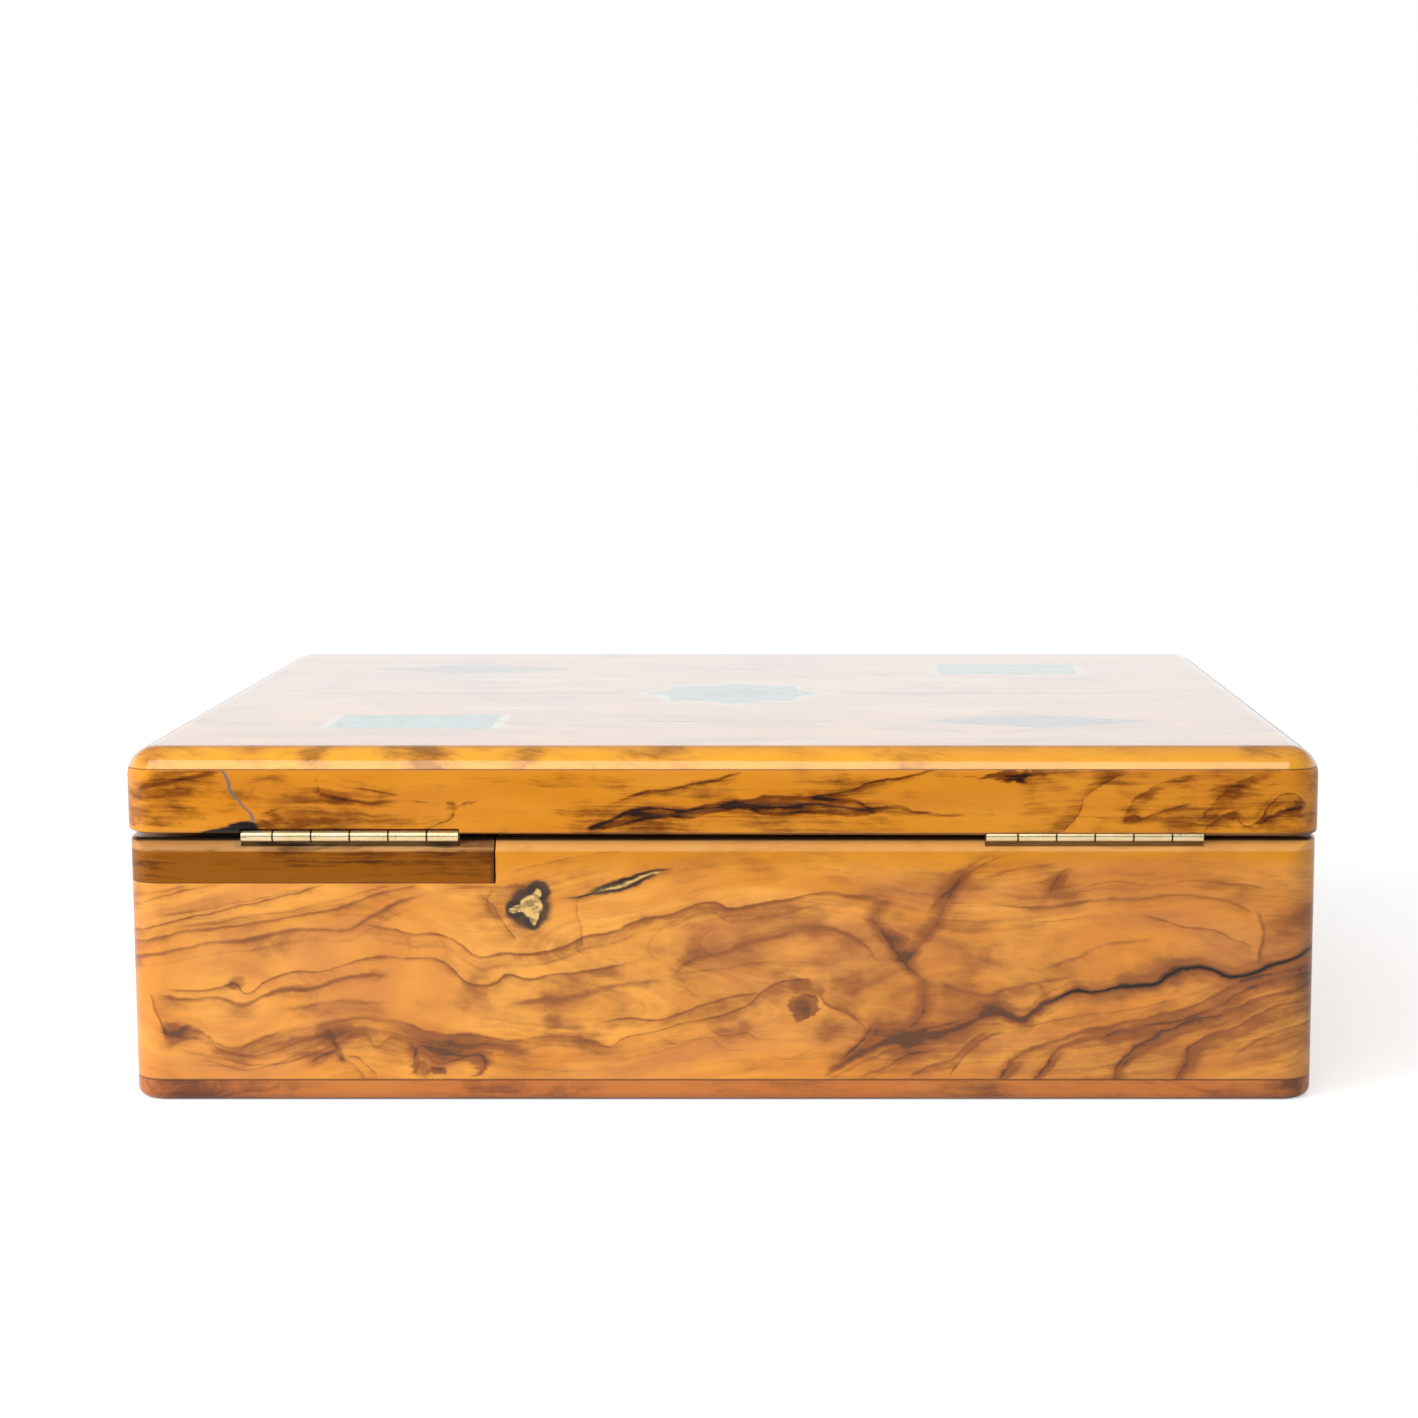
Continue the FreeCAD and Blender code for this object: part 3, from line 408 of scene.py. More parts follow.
backWall = {                                            # seen from behind: sideways from the middle, then height
    "name": "olive_back_wall", "axes": ("-x", "z", "y"), "seed": 2.0, "waver": 2.6, "bold": 0.8, "marble": 1.2,
    "brown": (0.29, 0.088, 0.017), "umber": (0.12, 0.043, 0.015),
    "rings": {"spacing": 4.6, "sway": (120, 40, 3), "curl": (34, 14, 1.6), "dark": 0.22, "flowHeights": (16, 44),
              "flow": ([(-140, 19), (-114, 13), (-88, 19.6), (-65, 16), (-26, 15), (0, 20), (20, 23), (42, 21),
                        (64, 22), (90, 25), (112, 29), (140, 35)],
                       [(-140, 34), (-108, 39.5), (-84, 43), (-57, 34.5), (-31, 39.8), (-2, 47), (22, 50), (37, 47),
                        (60, 44), (100, 48), (140, 44)])},
    "veins": [
        # upper left, rising to the patch
        vein([(-141, 45.8), (-136, 47.3), (-125.5, 50.4), (-116, 52.2)], 0.4, 1.4, 0.54, (0, 3)),
        vein([(-141, 40.3), (-134, 41.7), (-125, 43.9), (-113, 46.7), (-103.5, 48.9), (-97, 50.4), (-91, 52.1)],
             0.5, 1.6, 0.84, (0, 3), echoes=[(1.9, 0.35), (3.4, 0.22)]),
        vein([(-141, 37.6), (-132, 39.2), (-122, 41.1), (-110, 42.6), (-101, 44.2), (-91, 46.1), (-85, 47.9),
              (-78, 49.8), (-69, 52.2)],
             0.5, 1.8, 0.81, (0, 3)),
        vein([(-141, 34.4), (-133, 35.5), (-125, 37), (-116, 38.6), (-108, 39.5), (-101, 40.9), (-94, 41.1),
              (-88, 41.4), (-84, 43.6), (-76.5, 47), (-67, 50.4)],
             0.8, 2.0, 1.05, (0, 8), echoes=[(-2.6, 0.4)]),
        vein([(-132, 44.2), (-120, 46.4), (-110, 48.4), (-101, 50.2), (-94, 51.8)], 0.4, 1.2, 0.68, (3, 2)),
        vein([(-129, 41.4), (-119, 43), (-109, 44.8), (-100, 46.2), (-91, 48.2), (-83, 50.2), (-76, 51.8)],
             0.4, 1.2, 0.81, (3, 2)),
        vein([(-141, 48.8), (-132, 50.2), (-124, 51.6)], 0.4, 1.2, 0.61, (0, 2)),
        # the long line through the middle
        vein([(-84, 42.9), (-79, 41.4), (-73, 40.1), (-65, 39.2), (-61, 36.7), (-57, 34.2), (-53, 35.2),
              (-46, 35.5), (-38, 37), (-31, 39.8), (-25, 41.1), (-19, 43.9), (-12, 45.1), (-6, 47.6), (-2, 47.9),
              (1.7, 46.1), (6.6, 46.7), (15, 48.3), (22.6, 50.1), (30, 49.5), (38, 48.1)],
             0.65, 2.4, 1.0, (3, 6), echoes=[(-2.8, 0.28)]),
        vein([(-132, 27.2), (-124, 26.6), (-118, 27.2), (-114, 28), (-112, 25.5), (-108, 28.6), (-103.5, 30.5),
              (-98.6, 31.4), (-95, 31.1), (-88, 33.3), (-81, 34.8), (-75, 34.5), (-68, 33.9), (-64, 31.7),
              (-61, 28.7), (-54, 28.6), (-51, 30.5), (-46, 29.5), (-40, 30.2), (-31, 31.4), (-25, 33), (-18, 34.8)],
             0.6, 1.6, 0.98, (4, 12)),
        vein([(-13, 29.8), (-6.9, 34.6), (-0.6, 35.8), (7.2, 38.6), (12, 40), (17.4, 41.4)],
             1.2, 3.2, 0.61, (5, 4), echoes=[(1.6, 0.4)]),
        vein([(19.7, 42.4), (24, 42.2), (30.6, 39.4), (34, 36.2), (38, 31)], 1.0, 3.4, 0.61, (3, 5)),
        vein([(-12, 31.4), (-3, 31.6), (6, 32.8), (14, 33.4)], 0.5, 1.6, 0.41),
        vein([(-133, 25.7), (-124, 24.5), (-118, 24.5), (-112, 22.7), (-108, 25.2), (-103.5, 26.7), (-97, 27),
              (-91, 29.2), (-85, 30.5), (-78, 30.2)],
             0.9, 2.2, 1.05, (4, 8)),
        # the broad dark line above the burl
        vein([(-132, 19.5), (-130, 16.7), (-125, 18), (-122, 16.7), (-119, 13.9), (-114.5, 13), (-108, 15.5),
              (-101, 17.1), (-94, 18.3), (-88, 19.6), (-82, 19.6), (-76, 18.9), (-70, 17.1), (-65, 16.1),
              (-58, 16.1), (-49, 14.2), (-43, 15.8), (-37, 15.8), (-31, 14.6), (-26.5, 13)],
             0.8, 3.4, 0.64, (3, 3), echoes=[(-2.2, 0.3), (2.4, 0.22)], band=(-1.4, 1.4, 0.6)),
        vein([(-30, 14.2), (-26.5, 13), (-23, 15.2), (-15, 17.1), (-6, 19.6), (1.7, 21.4), (6.6, 23.6), (10, 26.4),
              (15, 28.4), (20.5, 28.8)],
             0.5, 1.6, 0.8, (3, 1)),
        vein([(-112, 12), (-102, 14.4), (-94, 15.6), (-84, 16.4), (-76, 15.2), (-66, 12.8), (-56, 13.2),
              (-46, 12.4)],
             1.6, 3.0, 0.42, (8, 8)),
        vein([(-128, 12.5), (-118, 10.5), (-108, 9.2), (-98, 11.0), (-92, 13.4)],
             0.5, 2.0, 0.62, (3, 4), echoes=[(1.7, 0.5)]),
        vein([(-122, 15.3), (-115.6, 11.6), (-108.6, 11.8), (-100.8, 14.2), (-91.4, 16)], 0.5, 1.4, 0.6, (3, 3)),
        vein([(-124, 12.2), (-115.6, 8.2), (-108.6, 8.4), (-100.8, 11.2), (-95, 12.8)], 0.45, 1.4, 0.5, (3, 3)),
        vein([(-107, 21.4), (-98, 22.6), (-90, 24.2), (-84, 23.4), (-76, 23.8)], 0.8, 2.2, 0.46, (6, 6)),
        vein([(-52, 23), (-42.5, 24.5), (-34, 25.5), (-28, 27.4), (-21.6, 28.3), (-13, 28.9)], 1.2, 3.0, 0.56),
        vein([(-31, 18.6), (-23, 20.5), (-14, 20.2), (-5.6, 23), (1.7, 24.9), (9, 26.1)], 0.6, 2.2, 0.8, (5, 2)),
        # burl, low on the left
        vein([(-94.5, 11.4), (-91.4, 12.4), (-90.2, 14), (-89, 14.8), (-86.7, 15.9), (-83.6, 15.4), (-82, 12.6),
              (-78.9, 14.6), (-75, 14.8)],
             0.45, 1.2, 0.54, (1, 1)),
        vein([(-91.6, 13.0), (-89.8, 10.2), (-86.7, 8.4), (-85.1, 6.4), (-84.0, 5.2)], 0.45, 1.0, 0.63, (1, 0.5)),
        vein([(-88.6, 10.6), (-86, 10.2), (-83.6, 8), (-81.4, 5.3)], 0.38, 0.8, 0.57, (1, 0.5)),
        vein([(-98, 8.2), (-94.4, 10.8), (-90.5, 12.6)], 0.8, 1.8, 0.57, (2, 1)),
        vein([(-74, 9.6), (-71.4, 11.6), (-68, 9.2), (-64.4, 9.4), (-61, 10.6)], 0.5, 1.4, 0.47, (1, 1)),
        vein([(-70.8, 6.4), (-68, 7.4), (-65.2, 6.2)], 0.7, 1.2, 0.6, (0.6, 0.6)),
        vein([(-72, 13.4), (-67, 12.0), (-62, 10.6), (-57.4, 11.4)], 0.9, 2.0, 0.47, (2, 2)),
        vein([(-46, 5.9), (-36, 7.3), (-26, 6.2)], 0.4, 1.5, 0.3),
        vein([(-16, 16.8), (-10, 13.6), (-4, 15.4), (2, 12.2), (8, 13.2)], 0.6, 1.8, 0.28, (3, 3)),
        vein([(-4, 18.4), (1, 15.6), (6, 16.6), (8, 15.2), (14.6, 16)], 0.45, 1.4, 0.37, (2, 2)),
        vein([(10, 12), (15, 10.2), (19, 11.6), (23, 14.4)], 0.5, 1.6, 0.3, (2, 2)),
        # the knot's tail and the wedge under the neck
        vein([(22, 25.5), (24, 23), (29, 21), (32.4, 18.6), (33.8, 14.5)], 0.7, -2.2, 0.9, (1, 3)),
        vein([(23.7, 6.2), (25.7, 7.4), (33.6, 11.8), (38.5, 14.2), (44, 15.4), (50, 16.2)],
             1.6, -3.4, 1.1, (2, 5), echoes=[(-1.8, 0.6)]),
        vein([(38, 14.8), (44, 16), (50, 17.6), (56, 19.4), (63, 21.6), (68, 20.8), (73, 21.4), (77, 24.6)],
             0.6, 1.2, 0.7, (4, 4), band=(0.2, 1.9, 0.5)),
        vein([(30.7, 6.0), (37, 8.4), (43.2, 11.4), (48.7, 12.6)], 0.5, 1.4, 0.65, (2, 3)),
        vein([(43.2, 6), (47.9, 8.2), (54.1, 10), (59.6, 15), (62.7, 16.6)], 0.6, 1.8, 0.65, (1, 3)),
        vein([(53.3, 5.6), (58, 11.2), (62.7, 15.2), (67.4, 16.6)], 0.7, -2.0, 0.7, (1, 3)),
        # upper right
        vein([(62, 48.1), (72, 46.9), (80.6, 47.5), (89, 48.8), (98, 48.8), (107.6, 49.7), (116, 48.8), (122, 46.9),
              (125, 44.6)],
             0.5, 2.0, 0.7, (6, 2), echoes=[(2.4, 0.5), (4.2, 0.3)]),
        vein([(60, 53), (66, 54.6), (72, 56), (78, 56.6)], 0.6, 2.0, 0.5, (3, 3)),
        vein([(84, 51.4), (92, 52.6), (101, 52.0), (110, 53.2), (120, 52.2), (129, 50.4)],
             0.45, 1.6, 0.5, (4, 4), echoes=[(1.8, 0.4)]),
        vein([(54, 52), (60, 56), (66, 58.8)], 0.45, 1.4, 0.55, (2, 2), echoes=[(1.7, 0.4)]),
        vein([(70, 43.4), (82, 44), (89, 45.9)], 0.4, 1.6, 0.45),
        vein([(98, 45), (100.7, 44.3), (108, 41.8), (117, 41.1), (121, 38.6), (125, 37.4)], 0.5, 1.6, 0.66, (4, 2)),
        vein([(74, 31.4), (77, 32.6), (83, 34.7), (89, 37.3), (97, 37.9), (104, 39)], 1.0, 2.6, 0.55, (5, 6)),
        vein([(60, 25.3), (68, 27.5), (78, 29.4), (84, 31.6)], 0.6, 2.0, 0.5, (4, 6)),
        vein([(50, 28.4), (55, 26.6), (61, 25.6), (66, 27)], 0.9, 2.4, 0.7, (2, 3)),
        # sweeping up to the right edge
        vein([(65, 4.6), (69, 10), (74.5, 13.2), (82.3, 16.3), (92.5, 18.3), (101, 20.3), (109.7, 22.7),
              (116.7, 25.9), (123, 29.1), (130, 31.1), (141, 32.4)],
             0.8, 2.6, 0.7, (1, 0), echoes=[(-2.4, 0.45), (-3.8, 0.3), (1.8, 0.3)], band=(-1.2, 1.7, 0.42)),
        vein([(73, 4.6), (76.8, 10), (79.2, 13.2), (85.4, 15.1), (96.4, 17.3), (106.5, 19.5), (116, 22.7),
              (123, 26.7), (130, 29.5), (141, 30.8)],
             0.7, 2.2, 0.66, (1, 0), echoes=[(-1.9, 0.35)], band=(-0.9, 1.2, 0.35)),
        vein([(91, 4.6), (92.1, 7.6), (94.8, 11.6), (99.5, 14.8), (106.5, 17.9), (112, 20.2), (120, 21.9),
              (126, 24.7), (134, 27.1), (141, 28.6)],
             0.7, 2.4, 0.66, (1, 0), echoes=[(-2.2, 0.5)], band=(-1.3, 1.5, 0.48)),
        vein([(106.5, 4.6), (108.9, 9.2), (109.7, 12.4), (113.6, 15.5), (120, 17.9), (124.5, 20.3), (130, 22.7),
              (135.5, 24.3), (141, 25.4)],
             0.7, 3.4, 0.66, (1, 0), echoes=[(-2.6, 0.4), (-4.6, 0.3)], band=(-2.0, 2.0, 0.48)),
        vein([(118, 9), (124, 14), (131, 17), (141, 19)], 0.6, 4.0, 0.55, (6, 0)),
        vein([(68, 18), (78, 19.6), (88, 21.4), (98, 22.6), (108, 25.6), (118, 28.4)], 0.5, 2.0, 0.45),
        # the brown band that the open crack runs in
        vein([(41.6, 14.3), (48, 15.3), (54.3, 16.9), (59.4, 19.5), (63.2, 21.4), (67.1, 21.4), (70.9, 20.1),
              (74.7, 23.4), (78.5, 25.3), (82.3, 27.2), (87.4, 26.9), (92.5, 28.5), (98.9, 28.5), (102.7, 29.2),
              (105.2, 30.8), (109, 31.8), (114.1, 31.8), (119.2, 30.2), (123.7, 30.8), (128.8, 33.1), (133.9, 34.4),
              (141, 37.8)],
             1.2, 3.0, 1.0, (2, 0), echoes=[(2.2, 0.4), (-3.0, 0.2)], band=(-0.2, 1.5, 0.5)),
        vein([(-66, 51), (-58, 51.4), (-50, 51.2), (-42, 52.2)], 0.4, 1.2, 0.6),
        vein([(-50, 54.5), (-40, 57), (-30, 58.6), (-22, 60)], 0.35, 1.0, 0.75, (2, 2)),
    ],
    "steep": [                                          # height first, then sideways
        vein([(32, 42.6), (37.8, 46.4), (42.6, 49.4), (47.4, 51.9), (51.3, 54.3), (55.3, 57.4), (58.5, 61)],
             0.6, 1.2, 0.5, (2, 5), band=(-0.6, 2.3, 1.35)),
        vein([(17.1, 43.2), (19.5, 46.3), (22.7, 47.5), (27.5, 46.7), (30.7, 44.6), (33.8, 42.2), (37.8, 39.4),
              (41, 37.2), (44.2, 35.4), (46.6, 37), (48.5, 39.6)],
             0.6, 1.2, 0.45, (2, 1), echoes=[(2.6, 0.4)], band=(-0.2, 2.2, 1.3)),
        vein([(29, 45.5), (34, 41.6), (38, 38.8), (41, 37.4)], 0.5, 1.2, 0.6, (2, 2)),
        vein([(45, 47.5), (48.5, 50.5), (52, 55), (55.5, 60)], 0.8, -2.0, 0.5, (3, 3)),
        vein([(4.6, 65.2), (10, 68.6), (13.6, 74.6)], 0.6, 1.2, 0.4, (1, 3), band=(0.8, 2.2, 1.2)),
        vein([(4.6, 73.2), (10, 76.8), (13.6, 79.6)], 0.6, 1.2, 0.4, (1, 3), band=(0.4, 1.4, 1.1)),
        vein([(4.6, 91.4), (7.6, 92.1), (11.6, 94.8), (15.2, 100)], 0.6, 1.2, 0.4, (1, 3), band=(0.8, 1.6, 1.1)),
        vein([(4.6, 106.5), (9.2, 108.6), (12.4, 109.7), (16, 114.4)], 0.6, 1.2, 0.4, (1, 3), band=(1.4, 2.4, 1.1)),
        vein([(49.2, 76), (52.3, 77.5), (55, 80), (56.6, 83.5)], 0.6, 1.8, 0.5, (2, 2), band=(0.8, 1.3, 0.9)),
        vein([(9.6, 27.5), (13.2, 31.4), (16.3, 33.8), (19.5, 35.4)], 0.6, 1.2, 0.85, (2, 2), band=(1.2, 1.4, 0.6)),
        vein([(37, -33), (41, -32.6), (45, -33.2), (49.5, -33.4)], 0.5, 1.4, 0.6, (1, 1)),
        vein([(38.5, -47.6), (42, -50), (46, -53), (50, -57)], 0.5, 1.4, 0.66, (1, 2)),
        vein([(44, -52.5), (47.5, -54.6), (51, -53)], 0.45, 1.2, 0.6, (1, 1)),
        vein([(33, 126.2), (39, 126.6), (44, 126.0), (46, 124.6)], 0.9, -4.4, 0.85, (2, 2)),
        vein([(15.5, -130.3), (20, -132), (24, -133.8), (27, -134.6)], 0.8, -2.6, 0.75, (1, 3)),
        vein([(8.6, -88.8), (11, -89.6), (14, -91.2), (18, -92.6)], 1.2, 2.4, 0.7, (1, 2)),
        vein([(5.6, -72.4), (9.2, -73.4), (12.4, -72.8), (14.6, -74.8)], 0.5, 1.2, 0.6, (1, 1)),
        vein([(5.0, -60.6), (6.2, -57.4), (8.2, -56.2), (10, -57), (11.6, -59.2)], 1.1, 1.6, 0.76, (0.6, 1)),
        vein([(5.4, -75.0), (8, -72.4), (11, -72.8), (13.6, -71.2)], 0.7, 1.8, 0.52, (1, 1)),
    ],
    "stains": [
        spot(18.3, 22.6, 3.6, 3.0, 10, 1.05, 0.35), spot(19.0, 26.2, 5.0, 2.4, -30, 0.55, 0.6),
        spot(15, 26, 6, 3, 20, 0.35), spot(29.5, 27, 6.5, 6.5, 40, 0.7), spot(37, 16.3, 7.0, 5.5, 0, 0.6),
        spot(40, 10, 14, 6, 28, 0.55), spot(40.4, 38.4, 3, 4, 30, 0.55), spot(42.5, 34.5, 5, 4, 0, 0.45),
        spot(48, 36, 30, 30, 0, 0.3), spot(42, 14, 30, 14, 0, 0.36), spot(-4, 34, 60, 26, 0, 0.26),
        spot(80, 51.5, 9, 5.5, -30, 0.66), spot(60, 55, 16, 7, 30, 0.4), spot(-82, 20.6, 5, 2.2, 0, 0.4, 0.9),
        spot(-77, 12, 34, 10, 0, 0.48), spot(-62, 12.4, 12, 6, -8, 0.4), spot(-55, 47, 6.5, 6, 0, 0.4),
        spot(-95.5, 10.2, 5.4, 2.6, 35, 0.5), spot(-91.4, 15.9, 6, 4, 10, 0.7), spot(-66, 11.6, 11, 5, -6, 0.55),
        spot(-72.2, 7.2, 3, 2.4, 0, 0.6, 0.7), spot(-67.9, 6.8, 2.6, 1.5, 0, 0.65, 0.6),
        spot(-58.2, 8.2, 3.2, 3.0, 0, 0.55, 0.6), spot(-128.2, 18.2, 5, 2.4, 0, 0.6),
        spot(-114.5, 28.2, 3.0, 2.2, 0, 0.7, 0.6), spot(-128, 15.8, 7, 4.5, 30, 0.66),
        spot(-60, 25.6, 5, 4.5, 0, 0.4), spot(-129, 23.4, 6, 3, 0, 0.45), spot(-81, 30.6, 6, 2.0, 8, 0.55),
        spot(-88, 22.6, 16, 4.5, 6, 0.5), spot(-36, 21, 22, 5, 8, 0.3), spot(63.5, 21.8, 7.5, 4.2, 0, 0.6),
        spot(100, 30.4, 34, 5.5, 9, 0.5), spot(100, 12, 46, 13, 18, 0.38), spot(129, 13, 16, 13, 30, 0.44),
        spot(133, 41, 8, 13, 0, 0.7), spot(10, 40, 26, 9, 12, 0.18), spot(-37.4, 25.1, 9, 3.4, 8, 0.55),
        spot(-39, 20.3, 4, 3.4, 0, 0.55), spot(-31.9, 15.1, 6, 2.6, 0, 0.55), spot(25.2, 17.9, 7, 6, 0, 0.5),
        spot(1.7, 17.1, 9, 3.2, -6, 0.55), spot(7.2, 8.2, 8, 2.6, 0, 0.45), spot(-10.8, 14.2, 9, 2.6, 10, 0.4),
        spot(-0.6, 46.2, 7, 2.2, 0, 0.5), spot(-19.4, 43.4, 6, 2.0, 20, 0.5), spot(21.3, 41.6, 7, 4, 0, 0.45),
        spot(5, 55, 10, 4, 0, 0.4), spot(14.4, 30.6, 7, 2.2, 12, 0.5), spot(-7, 36, 9, 3, 25, 0.4),
        spot(-72, 37.6, 8, 2.4, -12, 0.35), spot(-107, 36.4, 12, 2.6, 8, 0.35), spot(-101, 27.4, 9, 2.2, 10, 0.4),
        spot(58, 32, 9, 4, 20, 0.4), spot(90, 44, 16, 3.4, 6, 0.35), spot(-45.4, 47.1, 11.5, 10.5, 30, 0.7),
        spot(-139, 30, 4.5, 40, 0, 0.24), spot(139.5, 25, 5.5, 44, 0, 0.5), spot(-112, 38, 50, 34, 0, -0.2),
        spot(70, 32, 110, 60, 0, 0.14),
    ],
    "blackVeins": [
        vein([(74.7, 23.2), (78.5, 25.1), (82.3, 27.0), (87.4, 26.7), (92.5, 28.3), (98.9, 28.4), (102.7, 29.0),
              (105.2, 30.6), (109, 31.6), (114.1, 31.6), (119.2, 30.0), (123.7, 30.6), (128.8, 32.9), (133.9, 34.2),
              (141, 37.6)],
             0.55, 1.1, 0.95, (6, 0)),
        # painted shadow: a dark line on the chamfer under the right hinge's barrel
        vein([(61.8, 61.0), (80, 61.1), (112.8, 61.1)], 0.9, -1.2, 0.95, (0.4, 0.4)),
        vein([(-37, 48.4), (-31, 49.4), (-23, 53.0), (-16, 55.0), (-11, 55.6)], 0.5, 1.6, 0.9, (4, 3)),
    ],
    "blackSteep": [
        vein([(52, -53.7), (56, -53.5), (62.6, -53.3)], 0.42, 0.8, 1.0, (0.3, 0)),
    ],
    "barkSpots": [
        spot(18.6, 22.9, 2.4, 2.2, 20, 0.45, 0.6), spot(19.6, 21.4, 1.2, 2.0, 0, 0.4, 0.5),
        spot(-45.2, 46.6, 6.2, 6.2, 0, 0.92, 0.35), spot(-43.0, 50.2, 3.2, 3.2, 0, 0.92, 0.35),
        spot(-48.4, 46.2, 3.0, 2.6, 0, 0.92, 0.35), spot(-44.4, 43.2, 2.6, 2.6, 0, 0.92, 0.4),
        spot(-23.0, 52.3, 10.5, 1.7, 17, 0.95, 0.4),
    ],
    "creamSpots": [
        spot(-44.7, 47.0, 2.9, 2.8, 30, edge=0.22), spot(-47.4, 46.1, 2.8, 1.0, 8, edge=0.25),
        spot(-44.1, 44.4, 1.1, 2.3, -4, edge=0.28), spot(-43.5, 49.4, 1.1, 1.8, -20, edge=0.25),
    ],
    "creamVeins": [
        vein([(-30.7, 49.8), (-27, 50.9), (-24, 52.0), (-20, 53.4), (-14, 54.7)], 0.42, 0.5, 0.95, (2, 2)),
    ],
    # an amber tint band below the rim, and a paler planed tone on the chamfer that also paints its highlight
    "joints": [("z", 5.2, 0.35)], "planed": [("z", 54.0, 59.6, 0.65, "amber"), ("z", 59.5, 60.1, 0.48, "planed")],
    # painted shade: the rim's top face in the gap under the lid is dark
    "paintedShade": [("z", 61.7, 62.3, 0.97)], "paintedShadeFrom": (104.6, 105.4),
}
dress("base_back_wall", OliveBoard(backWall).painted())

patchStrip = {                                          # the darker strip let into the back wall
    "name": "olive_patch", "axes": ("-x", "z", "y"), "seed": 17.0, "waver": 1.2, "bold": 3.2, "coat": 0.05,
    "gloss": 1.25, "marble": 1.8, "drift": 3.4, "tone": (0.95, (0.25, 0.074, 0.002)),
    "brown": (0.085, 0.022, 0.001),
    "rings": {"spacing": 3.2, "sway": (120, 30, 4), "curl": (46, 12, 1.6), "dark": 1.0},
    "stains": [
        spot(-121, 56, 8, 4, 0, -0.7), spot(-84, 55, 12, 3, 0, -0.4), spot(-100, 56, 22, 3.0, 6, 0.4),
        spot(-66, 55, 18, 3, -6, 0.4), spot(-133, 56, 5, 7, 0, 0.45),
    ],
    "blackVeins": [
        # painted shadow: a dark line on the chamfer under the left hinge's barrel
        vein([(-114.5, 60.9), (-100, 61.0), (-63.6, 61.0)], 0.9, -1.2, 0.95, (0.4, 0.4)),
    ],
    # a paler planed tone on the chamfer that also paints its highlight
    "joints": [("z", 52.2, 0.3), ("x", 53.4, 0.9)], "planed": [("z", 59.5, 60.1, 0.46, "planed")],
    # painted shade: the rim's top face in the gap under the lid is dark
    "paintedShade": [("z", 61.7, 62.3, 0.97)], "paintedShadeFrom": (104.6, 105.4),
}
dress("base_back_wall_patch", OliveBoard(patchStrip).painted())

bottomPanel = {
    "name": "olive_bottom", "axes": ("-x", "y", "z"), "seed": 23.0, "waver": 3.0, "bold": 1.9,
    "tone": (0.72, (0.44, 0.115, 0.026)), "brown": (0.15, 0.042, 0.014),
    "rings": {"spacing": 5.0, "sway": (140, 50, 16), "curl": (50, 20, 4), "dark": 0.6},
    "stains": [
        spot(-126, 112, 18, 14, 0, 1.0), spot(60, 112, 26, 12, 0, 0.4), spot(-40, 112, 22, 12, 0, 0.3),
        spot(134, 110, 12, 14, 0, 0.5),
    ],
    # painted shade: a dark line along the bottom edge, where the box stands on the floor
    "joints": [("z", 5.2, 0.3)], "paintedShade": [("z", 0.9, 0.2, 0.85)],
}
dress("base_bottom_panel", OliveBoard(bottomPanel).painted())

